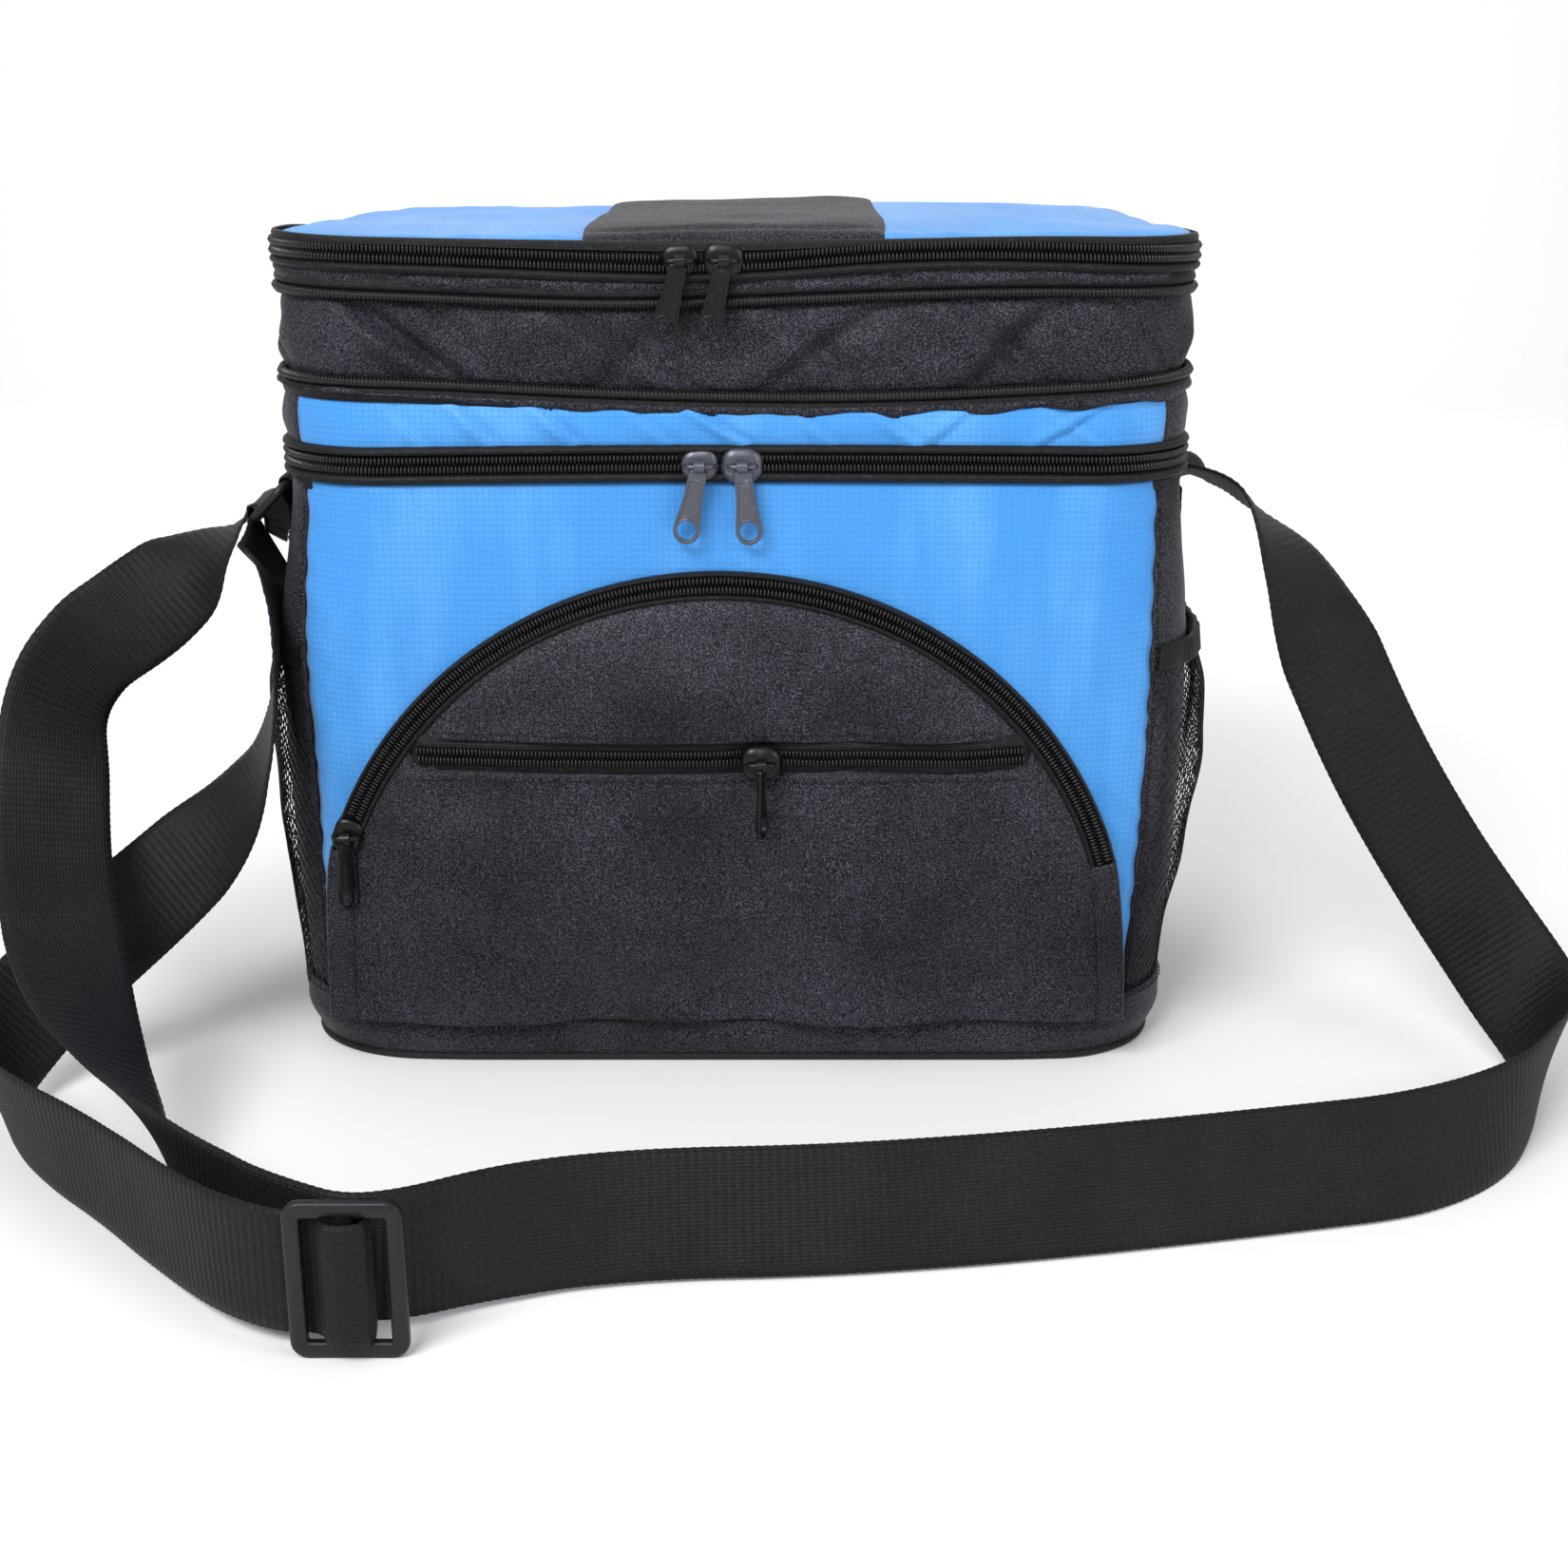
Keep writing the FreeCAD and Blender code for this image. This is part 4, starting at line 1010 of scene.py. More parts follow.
def expansion_cloth():
    """The wrinkled black cloth between the two open zip halves."""
    s = around(1.7)
    low = EXPANSION_LOW - 1.0 + sag(s, LOW_SAG)
    high = EXPANSION_HIGH + 0.8 + sag(s, RIM_SAG)

    def out(s, z):
        crease = creases(s, z, 264, EXPANSION_CREASES, (0.75, 0.7, 1.0), (-1.0, -0.25, 0.55))
        fold = rough(s, z * 1.5, 23, 4.0) * 1.7 + rough(s, z * 1.2, 9, 9.0) * 0.35
        full = 2.3 * fullness(s) + 1.4 * flank(s) + 1.25 * crease + fold
        return -1.4 + full * swell(z, low, high, 0.6)
    made = wall("expansion_cloth", s, steps_up(low, high, 20), out, M["black"], 0.8, closed=True)
    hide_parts("expansion_panel")
    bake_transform(made)


def rim_cloth():
    """The black band between the expansion zip and the lid's zip."""
    s = around(1.8)
    low = EXPANSION_HIGH + 3.6 + sag(s, RIM_SAG)
    high = LID_LEVEL - 5.0 + sag(s, LID_SAG)

    def out(s, z):
        wrinkle = rough(s * 0.45, z * 2.0, 9, 7.0) * 1.3 + rough(s, z, 7, 2.0) * 0.3
        return 0.7 + swell(z, low, high, 0.7) * (1.1 + wrinkle)
    made = wall("rim_cloth", s, steps_up(low, high, 10), out, M["black"], 1.0, closed=True)
    on_body(made, "rim", "black_polyester", "rim_band")


def at_height(flat, z):
    """Points (x, y, z) from points (x, y), at one height or at a height for each."""
    return np.dstack([flat, np.broadcast_to(z, flat.shape[:2])])


def oval(half_out, half_up, count=11):
    """The section of a cord, as (out, up) pairs."""
    return [(half_out * math.cos(a), half_up * math.sin(a)) for a in np.linspace(0, TAU, count)]


def sheet_inside(name, s, rings, low, high, material):
    """A flat sheet that fills the inside of the walls."""
    flat = plan_rings(rings, s, -6.5)
    both = np.concatenate([at_height(flat, low)[::-1], at_height(flat, high)])
    return grid(name, both, material, flip=True, close_columns=True)


def base():
    """The black band round the bottom, its corded lower edge, the bottom cloth and the board."""
    s = around(2.2)
    front = np.abs(wrapped(s))
    corner = smooth_step(90, 148, front) * smooth_step(330, 200, front)
    top = 18.0 + 6.0 * corner + 0.5 * rough(s, 0, 80, 3.0)
    tightness = 0.3 + 0.7 * corner
    tuck = -3.2

    def out(s, z):
        height = np.clip((z - BAND_FOOT) / (top - BAND_FOOT), 0, 1)
        full = swell(z, BAND_FOOT, top, 0.5)
        return (1.2 + (1.6 + 0.5 * rough(s, z * 1.5, 26, 5.0)) * full + 0.7 * smooth_step(0.8, 1, height)
                + tuck * (1 - smooth_step(0, 0.55, height)) * tightness)
    band = wall("base_band_cloth", s, steps_up(BAND_FOOT, top, 14), out, M["black"], 1.2, closed=True)
    on_body(band, "bag", "black_polyester", "base_band")
    loop = full_round(s, ROUND)
    row = stitches("base_band_stitches", at_wall(loop, full_round(top) - 1.8, 2.55), outward(loop))
    on_body(row, "bag", "black_polyester")
    inset = tuck * full_round(tightness)
    track = wall_track(PIPING_LEVEL, loop)
    track.points = at_wall(loop, PIPING_LEVEL, 0.9 + inset)
    on_body(track.sweep("base_piping", oval(1.45, 1.4)[::-1], M["tape"]), "bag", "black_polyester")
    shares = np.linspace(1, 0, 30)
    rings = shares[:, None, None] * at_wall(s, PIPING_LEVEL, inset[:-1])[:, :2]
    heights = 0.55 + 0.8 * (shares < 0.999) * (1 - shares ** 6)
    made = grid("base_bottom_cloth", at_height(rings, heights[:, None]), M["black"], rings * MM,
                flip=True, close_columns=True)
    on_body(solid(made, 1.0), "bag", "black_polyester", "base_panel")
    board = sheet_inside("base_stiffener", s, 20, 2.3, 5.2, M["plastic"])
    on_body(board, "bag", "black_plastic", "base_board")


# ---- lid --------------------------------------------------------------------------

def lid_height(x, y):
    """The lid's top surface: its edge follows the zip, and it is crowned, more on the right."""
    reach = np.maximum(np.abs(x) / HALF_W, np.abs(y) / HALF_D)
    across = smooth_step(-75, 40, y)
    edge = front_line(np.clip(x * 1.05, -160, 160), LID_EDGE) * (1 - across) + LID_EDGE[7] * across
    crown = (1.7 + 2.0 * smooth_step(-40, 60, x) + 1.6 * smooth_step(-40, 60, y)) * (1 - reach ** 3.4)
    return LID_LEVEL + edge + crown + rough(x, y, 38, 1.0) * 0.7


def plan_rings(count, s, out=0.0):
    """Points (x, y) of rings that shrink from the outline to the middle."""
    x, y, nx, ny = plan(s)
    edge = np.column_stack([x + nx * out, y + ny * out])
    return np.stack([edge * k for k in np.linspace(1, 0, count)])


def hollow(flat, half_x, half_y):
    """1 in the middle of a rounded rectangle, 0 at its edge."""
    return 1 - np.maximum(np.abs(flat[..., 0]) / half_x, np.abs(flat[..., 1]) / half_y) ** 3


def lid():
    """The lid's cloth, lining, foam and inner binding."""
    s = around(2.4)
    flat = plan_rings(48, s, 0.3)
    edge = np.linalg.norm(flat - flat[0], axis=-1)
    z = lid_height(flat[..., 0], flat[..., 1])
    z = z - 1.2 * np.exp(-edge / 2.6) + 0.4 * np.exp(-((edge - 8) / 4) ** 2)
    gather = rough(s, 0, 12, 4.0) * np.exp(-edge / 14) * 0.6
    made = grid("lid_top_cloth", at_height(flat, z + gather), M["blue"], flat * MM, close_columns=True)
    on_body(solid(made, 1.0), "lid", "blue_ripstop", "lid_panel")
    flat = plan_rings(30, s, -5.0)
    low = 278.9 - 1.6 * hollow(flat, 147, 94) + rough(flat[..., 0], flat[..., 1], 24, 5.0) * 0.7
    film = np.concatenate([at_height(flat[:1], 284.0), at_height(flat[:1], 281.0), at_height(flat, low)])
    made = grid("lid_lining", film, M["foil"], flip=True, close_columns=True)
    on_body(made, "lid", "silver_liner", "lid_liner")
    on_body(sheet_inside("lid_foam_sheet", s, 14, 280.0, 282.0, M["foam"]), "lid", "foam", "lid_foam")
    track = wall_track(280.6, full_round(s, ROUND), lift=-3.2)
    binding = track.sweep("lid_inner_binding", oval(2.9, 1.7)[::-1], M["tape"])
    on_body(binding, "lid", "black_polyester")


def handle():
    """The padded strip across the lid, in two halves that meet in the middle."""
    half = cad_box("handle_grip")[1][0]
    reach = HALF_D + 0.9
    for name, side in (("front", -1), ("back", 1)):
        across = between(-1, 1, 1 / 26)
        along = np.append(-3.0, np.linspace(-1.5, reach, 45))
        v, u = np.meshgrid(along, across, indexing="ij")
        y = side * v
        x = u * half * (1 - 0.02 * smooth_step(0.75, 1, v / reach))
        rise = (1 - np.abs(u) ** 3.2) ** 0.6
        end = np.clip((reach - v) / 15, 0, 1) ** 0.5
        crease = -1.1 * np.exp(-((reach - v - 11) / 2.6) ** 2) * (1 - np.abs(u) ** 6)
        pad = 0.9 + rise * (1.9 * end + 0.45 * rough(x, y, 24, 6.0)) + crease
        z = lid_height(x, y) + pad - 2.4 * np.exp(-(reach - v) / 1.7) - 1.5 * smooth_step(-0.5, -3.0, v)
        flat = np.stack([x, y], -1)
        made = grid("handle_%s_half" % name, at_height(flat, z), M["black"], flat * MM, flip=side < 0)
        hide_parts("handle_grip", "handle_ends")
        solid(made, 1.6)
        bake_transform(made)


# ---- inside --------------------------------------------------------------------------

def lining(name, low, high, body, node, floor=True):
    """Silver film on the walls of a compartment, and its floor."""
    s = around(3.2)
    across, up = np.meshgrid(s, between(low, high, 3.4))
    film = at_wall(across, up, -8.4 + rough(across, up, 15, 6.0) * 0.7)
    if floor:
        flat = plan_rings(26, s, -8.4)
        level = low + rough(flat[..., 0], flat[..., 1], 17, 2.0) * 0.6
        film = np.concatenate([at_height(flat, level)[::-1][:-1], film])
    made = grid(name, film, M["foil"], flip=True, close_columns=True)
    on_body(made, body, "silver_liner", node)


def lip(name, level, side, body):
    """A cloth binding over the foam's edge, all round."""
    inner, outer = -9.9, -0.3
    middle, half = (inner + outer) / 2, (outer - inner) / 2
    profile = [(middle + half * math.cos(a), side * 1.6 * abs(math.sin(a)) ** 0.6)
               for a in np.linspace(0, math.pi, 13)]
    profile = [(outer, -side * 3.0)] + profile + [(inner, -side * 6.0)]
    track = wall_track(level, full_round(around(2.4), ROUND))
    on_body(track.sweep(name, profile, M["tape"], 0.5, flip=side < 0), body, "black_polyester")


def foam_wall(name, low, high, body, node):
    """The foam between the cloth and the lining."""
    made = wall(name, around(5), between(low, high, 6), lambda s, z: -1.9, M["foam"], 4.8, closed=True)
    on_body(made, body, "foam", node)


def inside():
    """Foam, linings and bindings of both compartments, and the padded divider between them."""
    foam_wall("lower_foam_sheet", 6.5, 205.5, "bag", "lower_foam")
    foam_wall("upper_foam_sheet", 221.5, 234.5, "top_compartment", "upper_foam")
    lining("lower_lining", 7.2, 205.2, "bag", "lower_liner")
    lip("lower_edge_binding", 206.6, 1, "bag")
    lining("upper_lining", 221.2, 234.4, "top_compartment", "upper_liner", floor=False)
    lip("upper_edge_binding", 235.4, 1, "top_compartment")
    lip("upper_bottom_binding", 220.4, -1, "top_compartment")
    s = around(3.0)
    flat = plan_rings(26, s, -5.2)
    x, y = flat[..., 0], flat[..., 1]
    soft = 1.4 * hollow(flat, 146, 93)
    top = at_height(flat, 219.8 + soft + rough(x, y, 20, 3.0) * 0.5)[::-1]
    low = at_height(flat, 210.4 - soft + rough(x, y, 20, 8.0) * 0.5)
    edge = at_wall(np.repeat(s[None], 3, 0), np.array([[218.6], [215.0], [211.4]]), -4.4)
    pad = np.concatenate([top, edge, low])
    made = grid("padded_divider", pad, M["foil"], flip=True, close_columns=True)
    on_body(made, "top_compartment", "silver_liner", "divider_board")


def hinge_cloth():
    """Plain cloth across the two places at the back where the zips stop."""
    s = between(ZIP_END - 6, ROUND - ZIP_END + 6, 3)
    for name, low, high, parent, child in (("mid_back_hinge", 206.5, 221.0, "bag", "top_compartment"),
                                           ("lid_back_hinge", 272.5, 282.4, "rim", "lid")):
        def out(s, z):
            return 0.9 + 0.7 * swell(z, low, high) + rough(s, z, 14, 3.0) * 0.25
        made = wall(name, s, between(low, high, 1.1), out, M["black"], 0.9)
        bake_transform(made)


# ---- the D-shaped front pocket ---------------------------------------------------------

FRONT, BACK, UP = (0, -1, 0), (0, 1, 0), (0, 0, 1)


class Pocket:
    """Sizes of the pocket, seen from the front."""

    middle = np.mean(cad_box("pocket_gusset"), 0)[0]
    centre = 36.5           # height of the arc's centre
    radius = 138.0          # of the arc zip
    plane = -102.3          # y of the zip's tape
    first, last = 17.0, 163.0       # where the arc meets the straight sides, in degrees
    teeth_end = 155.5
    bottom = 17.5
    face = 133.4            # radius of the face's edge
    zip_level, zip_half, zip_band = 116.0, 103.0, 5.4


def pocket_track():
    """Up the left side, over the arc and down the right side."""
    p = Pocket
    side = p.radius * math.cos(math.radians(p.first))
    join_z = p.centre + p.radius * math.sin(math.radians(p.first))
    rise = np.arange(p.bottom, join_z - 1, 1.5)
    spread = side + 3.6 * (1 - ((rise - p.bottom) / (join_z - p.bottom)) ** 2)
    turn = np.radians(np.arange(p.last, p.first - 0.01, -0.6))
    x = np.concatenate([-spread, p.radius * np.cos(turn), spread[::-1]])
    z = np.concatenate([rise, p.centre + p.radius * np.sin(turn), rise[::-1]])
    points = np.column_stack([x + p.middle + base_shift(z), np.full(len(x), p.plane), z])
    for _ in range(30):
        points[1:-1] = (points[:-2] + 2 * points[1:-1] + points[2:]) / 4
    out = same(FRONT, points)
    return Track(points, out, np.cross(out, tangents(points)))


def base_shift(z):
    """The pocket's lower part lies a little to the right of its top."""
    return 1.4 * smooth_step(95, 25, np.asarray(z, float))


def arc_track():
    """The part of the pocket's edge that has teeth."""
    p = Pocket
    turn = np.radians(np.linspace(p.teeth_end, p.first, 240))
    radial = np.column_stack([np.cos(turn), 0 * turn, np.sin(turn)])
    return Track((p.middle, p.plane, p.centre) + p.radius * radial, same(FRONT, turn), radial)


def face_bulge(x, z, inside):
    """How far the padded face stands out; inside is the distance in from its edge."""
    p = Pocket
    dome = 8.2 * (1 - np.exp(-np.maximum(inside, 0) / 15))
    low = 0.30 + 0.70 * smooth_step(p.bottom, 76, z)
    broad = 3.4 * rough(x, z * 1.2, 43, 1.5) + 1.1 * rough(x, z, 22, 7.5)
    band = np.exp(-((z - p.zip_level) / 17) ** 2) * smooth_step(122, 90, np.abs(x))
    height = dome * low + broad * smooth_step(2, 28, inside) - 1.7 * band
    return height - 0.9 * np.exp(-np.maximum(inside, 0) / 1.2)


def face_point_out(x, z):
    """y of the face at a place, x from the pocket's middle."""
    p = Pocket
    ring = p.face - np.hypot(x, z - p.centre)
    edge = np.where(z > p.centre + 39, ring, outline_half(z) - np.abs(x))
    return p.plane - 1.2 - face_bulge(x, z, edge)


def outline_half(z):
    """Half the width of the face at a height."""
    p = Pocket
    side = p.face * math.cos(math.radians(p.first))
    join_z = p.centre + p.face * math.sin(math.radians(p.first))
    low = side + 3.4 * (1 - np.clip((z - p.bottom) / (join_z - p.bottom), 0, 1) ** 2)
    arc = np.sqrt(np.maximum(p.face ** 2 - (z - p.centre) ** 2, 0))
    return np.where(z > join_z, arc, low)


def crowded(count, reach):
    """Shares from -1 to 1 that lie closer together towards both ends."""
    turn = math.pi / 2 * reach
    return np.sin(between(-1, 1, 1 / count) * turn) / math.sin(turn)


def pocket_face():
    """The padded face in one piece, with the straight zip's window let into it."""
    p = Pocket
    lip, band = 0.35, p.zip_band
    first = math.asin((p.zip_level + band + 1 - p.centre) / p.face)
    levels = np.concatenate([between(p.bottom, p.zip_level - band - 1, 2.0),
                             [p.zip_level - band - lip, p.zip_level - band + lip],
                             between(p.zip_level - band + 1.2, p.zip_level + band - 1.2, 1.5),
                             [p.zip_level + band - lip, p.zip_level + band + lip],
                             p.centre + p.face * np.sin(np.linspace(first, math.pi / 2, 34))])
    levels[-1] = p.centre + p.face - 0.02
    share = crowded(56, 0.96)
    z = np.repeat(levels[:, None], len(share), 1)
    x = outline_half(z) * share[None]
    away, end = np.abs(z - p.zip_level), np.abs(x) - p.zip_half
    window = smooth_step(band + lip, band - lip, away) * smooth_step(3.5, 1.5, end)
    fold = np.exp(-((away - band - 1.4) / 1.2) ** 2) * smooth_step(9, 2, end)
    y = face_point_out(x, z) + 2.0 * window - 0.5 * fold
    points = np.stack([x + p.middle + base_shift(z), y, z], -1)
    made = grid("pocket_face", points, M["black"], np.stack([x, z], -1) * MM)
    solid(made, 1.1)
    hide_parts("flap_face_top", "flap_face_low", "pocket_lower_panel")
    fold_flap(made)


def fold_flap(made):
    """Bake the cloth's transform into its mesh."""
    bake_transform(made)


def face_path(level, half, back, step):
    """A level line across the face, or a little behind it."""
    x = between(-half, half, step)
    z = np.full(len(x), level)
    return np.column_stack([x + Pocket.middle, face_point_out(x, z) + back, z])


def pocket():
    """The strip round the pocket, its rolled edge, coils, face, lining and straight zip."""
    p = Pocket
    whole = pocket_track()
    outer = [(-4.6, 4.0), (-3.2, 4.4), (-1.6, 4.5), (-0.2, 4.4), (0.7, 4.1), (1.1, 3.7), (1.0, 3.4),
             (0.5, 3.2), (0.25, 3.0), (0.2, -0.4)]
    gusset = whole.sweep("pocket_gusset_strip", outer[::-1], M["tape"], 0.8)
    on_body(gusset, "bag", "black_polyester", "pocket_gusset", "pocket_zip_outer")
    inner = [(0.1, 0.4), (0.2, -2.7), (0.6, -3.0), (1.2, -3.1), (1.6, -3.4), (1.7, -3.9), (1.4, -4.4),
             (0.7, -4.9), (-0.6, -5.3)]
    roll = whole.sweep("pocket_zip_edge", inner, M["tape"], 0.8, flip=True)
    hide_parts("pocket_zip_inner")
    fold_flap(roll)
    arc = arc_track()
    coil_half("pocket_zip_outer", arc, 1, None, "bag")
    coil_half("pocket_zip_inner", arc, -1, None, "flap")
    pocket_face()
    back_sheet()
    straight_zip()
    side_strip("left")
    side_strip("right")
    for name, side, half in (("top", 1, 99), ("low", -1, 104)):
        path = face_path(p.zip_level + side * (p.zip_band + 2.6), half, -0.02, 1.6)
        row = stitches("pocket_straight_stitches_" + name, path, same(FRONT, path))
        on_body(row, "flap", "black_polyester")


def side_strip(name):
    """Plain cloth over the strip below the end of the arc zip."""
    whole = pocket_track()
    end = whole.run[np.argmax(whole.points[:, 2] > (80 if name == "left" else 76))]
    at = between(0, end, 1.5) + (0 if name == "left" else whole.run[-1] - end)
    profile = [(-4.2, 4.1), (-3.0, 4.6), (-1.6, 4.75), (-0.2, 4.6), (0.8, 4.1), (1.5, 3.0), (1.9, 1.0),
               (2.0, -1.8), (1.8, -3.6), (1.3, -4.8), (0.2, -5.6)]
    made = Track(*whole.at(at)).sweep("pocket_side_strip_" + name, profile[::-1], M["black"], 0.7)
    on_body(made, "bag", "black_polyester")


def back_sheet():
    """The flap's lining, and the seam allowance round it."""
    p = Pocket
    edge, widest = 124.6, 119.0
    levels = np.concatenate([between(74, 118, 3),
                             p.centre + (edge - 0.1) * np.sin(np.radians(np.linspace(42, 90, 26)))])
    share = crowded(24, 0.95)
    z = np.repeat(levels[:, None], len(share), 1)
    x = np.minimum(np.sqrt(np.maximum(edge ** 2 - (z - p.centre) ** 2, 0)), widest) * share[None]
    y = p.plane - 1.6 - 0.9 * (1 - np.abs(share)[None] ** 4) + rough(x, z, 26, 3.0) * 0.35
    points = np.stack([x + p.middle, y, z], -1)
    made = grid("flap_lining", points, M["black"], np.stack([x, z], -1) * MM)
    on_body(solid(made, 0.7), "flap", "black_polyester", "flap_back_sheet")


def straight_zip():
    """The zip across the face: tape and two rows of coil."""
    p = Pocket
    path = face_path(p.zip_level, p.zip_half + 3, 1.3, 1.5)
    track = Track(path, same(FRONT, path), same(UP, path))
    flat = [(0.3, -7.0), (0.3, -3.2), (0.25, -0.15), (0.25, 0.15), (0.3, 3.2), (0.3, 7.0)]
    on_body(track.sweep("face_zip_tape", flat, M["tape"], 0.4), "flap", "zip_chain", "face_zip_chain")
    at = np.mean(cad_box("face_slider"), 0)[0] - path[0, 0]
    for name, side in (("upper", 1), ("lower", -1)):
        spans = [(3, at - 5), (at + 5, track.run[-1] - 3)]
        coil_half("face_zip_" + name, track, side, spans, "flap", 0.1)


# ---- mesh pockets --------------------------------------------------------------------

def mesh_out(t, z, depth, foot, full):
    """How far a mesh pocket stands off the wall, at t from -1 to 1 across it: nothing at the foot level,
    all of its depth at the full level, and drawn in by the elastic at the top."""
    body = smooth_step(foot, full, z) * (1 - 0.5 * smooth_step(126, 149, z))
    across = np.maximum(1 - np.abs(t) ** 2.6, 0) ** 0.8 * smooth_step(-1.0, -0.45, t) ** 0.5
    return 1.6 + across * depth * body


def mesh_pocket(side, name):
    """A net of diamonds over one flank, its elastic binding and the binding down its back edge."""
    first = 1.5 - BLUE_LEFT if name == "left" else BLUE_RIGHT + 1.5
    last = EDGES[1] + 129.5
    shape = (12.0, -10, 95) if name == "left" else (13.0, 30, 105)
    low, high = 18.5, 147.0         # of the net
    binding_level = 146.0

    def place(t, z, extra=0.0):
        s = side * (first + (t + 1) / 2 * (last - first))
        soft = 0.9 * rough(s, z, 22, 4.0) * np.maximum(1 - t ** 4, 0)
        return at_wall(s, z, mesh_out(t, z, *shape) + soft + extra)

    columns, steps = 88, 52
    T, Z = np.meshgrid(np.linspace(-1, 1, columns + 1), np.linspace(low, high, steps + 1))
    points = place(T, Z).reshape(-1, 3)
    faces = []
    for r in range(steps + 1):
        for c in range(1 + r % 2, columns, 2):
            corner = [(r, c - 1), (r + 1, c), (r, c + 1), (r - 1, c)]
            faces.append([a * (columns + 1) + b for a, b in corner if 0 <= a <= steps][::side])
    used = sorted({i for f in faces for i in f})
    number = {old: new for new, old in enumerate(used)}
    net = piece("mesh_net_" + name, points[used], [[number[i] for i in f] for f in faces], M["mesh"])
    modifier(net, "WIREFRAME", thickness=0.44 * MM, use_even_offset=False, use_boundary=True)
    on_body(net, "bag", "black_mesh", "mesh_pocket_" + name)
    # the elastic binding along the top, gathered and ribbed
    t = np.linspace(-1, 1, 260)
    ridge = 0.22 * np.sin(t * 260) + 0.35 * np.sin(t * 47 + 1.0)
    section = ((0.9, -4.2), (1.6, -3.2), (1.75, 0), (1.5, 3.2), (0.6, 4.2), (-0.6, 4.0), (-1.1, 2.5),
               (-1.1, -3.0), (-0.3, -4.2))
    rings = [place(t, np.full(len(t), binding_level + u), o + (ridge if o > 1.4 else 0))
             for o, u in section]
    band = grid("mesh_binding_%s_elastic" % name, np.stack(rings), M["tape"],
                flip=side < 0, close_rows=True)
    on_body(band, "bag", "black_polyester", "mesh_binding_" + name)
    # the binding down the back edge
    heights = between(19, 150, 2.5)
    section = ((1.2, -3.4), (2.6, -3.1), (3.4, -1.5), (3.5, 1.5), (2.6, 3.1), (1.2, 3.4))
    soft = 0.2 * rough(heights, 1.0, 9, 2.0)
    rings = [at_wall(np.full(len(heights), side * last + along), heights, o + soft) for o, along in section]
    strip = grid("mesh_side_%s_back" % name, np.stack(rings), M["tape"], flip=True)
    on_body(solid(strip, 0.6), "bag", "black_polyester")


# ---- strap fastenings ------------------------------------------------------------------

def tube(name, path, radius, material, sides, closed=False):
    """A round bar along a path, closed into a ring if asked."""
    path = np.asarray(path, float)
    along = unit(np.roll(path, -1, 0) - np.roll(path, 1, 0)) if closed else tangents(path)
    normal = unit(np.linalg.svd(path - path.mean(0))[2][2])
    side = unit(np.cross(along, normal))
    turn = np.linspace(0, TAU, sides, endpoint=False)
    rings = np.stack([path + radius * (math.cos(a) * side + math.sin(a) * normal) for a in turn], 1)
    faces = grid_faces(len(path), sides, close_rows=closed, close_columns=True)[:, ::-1].tolist()
    if not closed:
        faces += [list(range(sides)), [(len(path) - 1) * sides + i for i in range(sides)][::-1]]
    return piece(name, rings.reshape(-1, 3), faces, material)


def rounded_loop(half_a, half_b, corner, turn=10):
    """Outline of a rounded rectangle as pairs."""
    outline = []
    for k, (sa, sb) in enumerate(((1, 1), (-1, 1), (-1, -1), (1, -1))):
        for t in np.linspace(0, math.pi / 2, turn) + k * math.pi / 2:
            outline.append((sa * (half_a - corner) + corner * math.cos(t),
                            sb * (half_b - corner) + corner * math.sin(t)))
    return np.array(outline)


def strap_ring():
    """A rounded rectangle of bar, stored tilted at 45 degrees."""
    lo, hi = cad_box("strap_ring")
    bar = 1.8
    half = (hi - lo) / 2 - bar
    loop = rounded_loop(half[1], half[0] * math.sqrt(2), 4.5)
    slope = np.array([-1, 0, -1]) / math.sqrt(2)
    path = (lo + hi) / 2 + loop[:, :1] * BACK + loop[:, 1:] * slope
    made = tube("strap_loop_ring", path, bar, M["plastic"], 14, closed=True)
    on_body(made, "left_ring", "black_plastic", "strap_ring")


# The left anchor's webbing: up the wall, over the ring's bar and down again.
LEFT_LOOP = [(-152.6, 171), (-152.8, 190), (-153.8, 197.0), (-154.9, 201.0), (-157.5, 202.6),
             (-160.1, 200.9), (-159.6, 197.4), (-156.6, 193.6), (-154.6, 188), (-154.4, 170)]


def box_stitch(name, x, y, z, half_z, face):
    """A stitched square with a cross."""
    for i, row in enumerate((((-1, -1), (1, -1), (1, 1), (-1, 1), (-1, -1), (1, 1)), ((1, -1), (-1, 1)))):
        path = even(np.array([(x, y + a * 15, z + b * half_z) for a, b in row], float), 0.6)
        made = stitches(name + "_%d" % i, path, same((face, 0, 0), path), pitch=2.8)
        on_body(made, "bag", "black_webbing")


def anchors():
    """The two places where the strap's webbing is sewn to the sides."""
    centre = np.mean(cad_box("strap_anchor_left"), 0)[1]
    s = -(EDGES[1] + centre + HALF_D - CORNER)
    route = spline_path([(x - 0.75 * side_bulge(s, z) * (z < 196), centre, z) for x, z in LEFT_LOOP])
    route = even(route, RIB / 4)
    loop = ribbon("strap_anchor_loop", route, same(BACK, route))
    on_body(loop, "bag", "black_webbing", "strap_anchor_left")
    box_stitch("anchor_stitch_left", -155.4 - 0.75 * side_bulge(s, 179), centre, 179.0, 6.5, -1)
    right = side_bulge(-s, 180)
    route = even(np.array([(152.4 + right, centre, 198.0), (152.5 + right, centre, 169.0)]), RIB / 4)
    patch = ribbon("strap_anchor_patch", route, same(BACK, route))
    on_body(patch, "bag", "black_webbing", "strap_anchor_right")
    box_stitch("anchor_stitch_right", 152.8 + right, centre, 181.0, 7.5, 1)


# ---- sliders and pull tabs ---------------------------------------------------------------

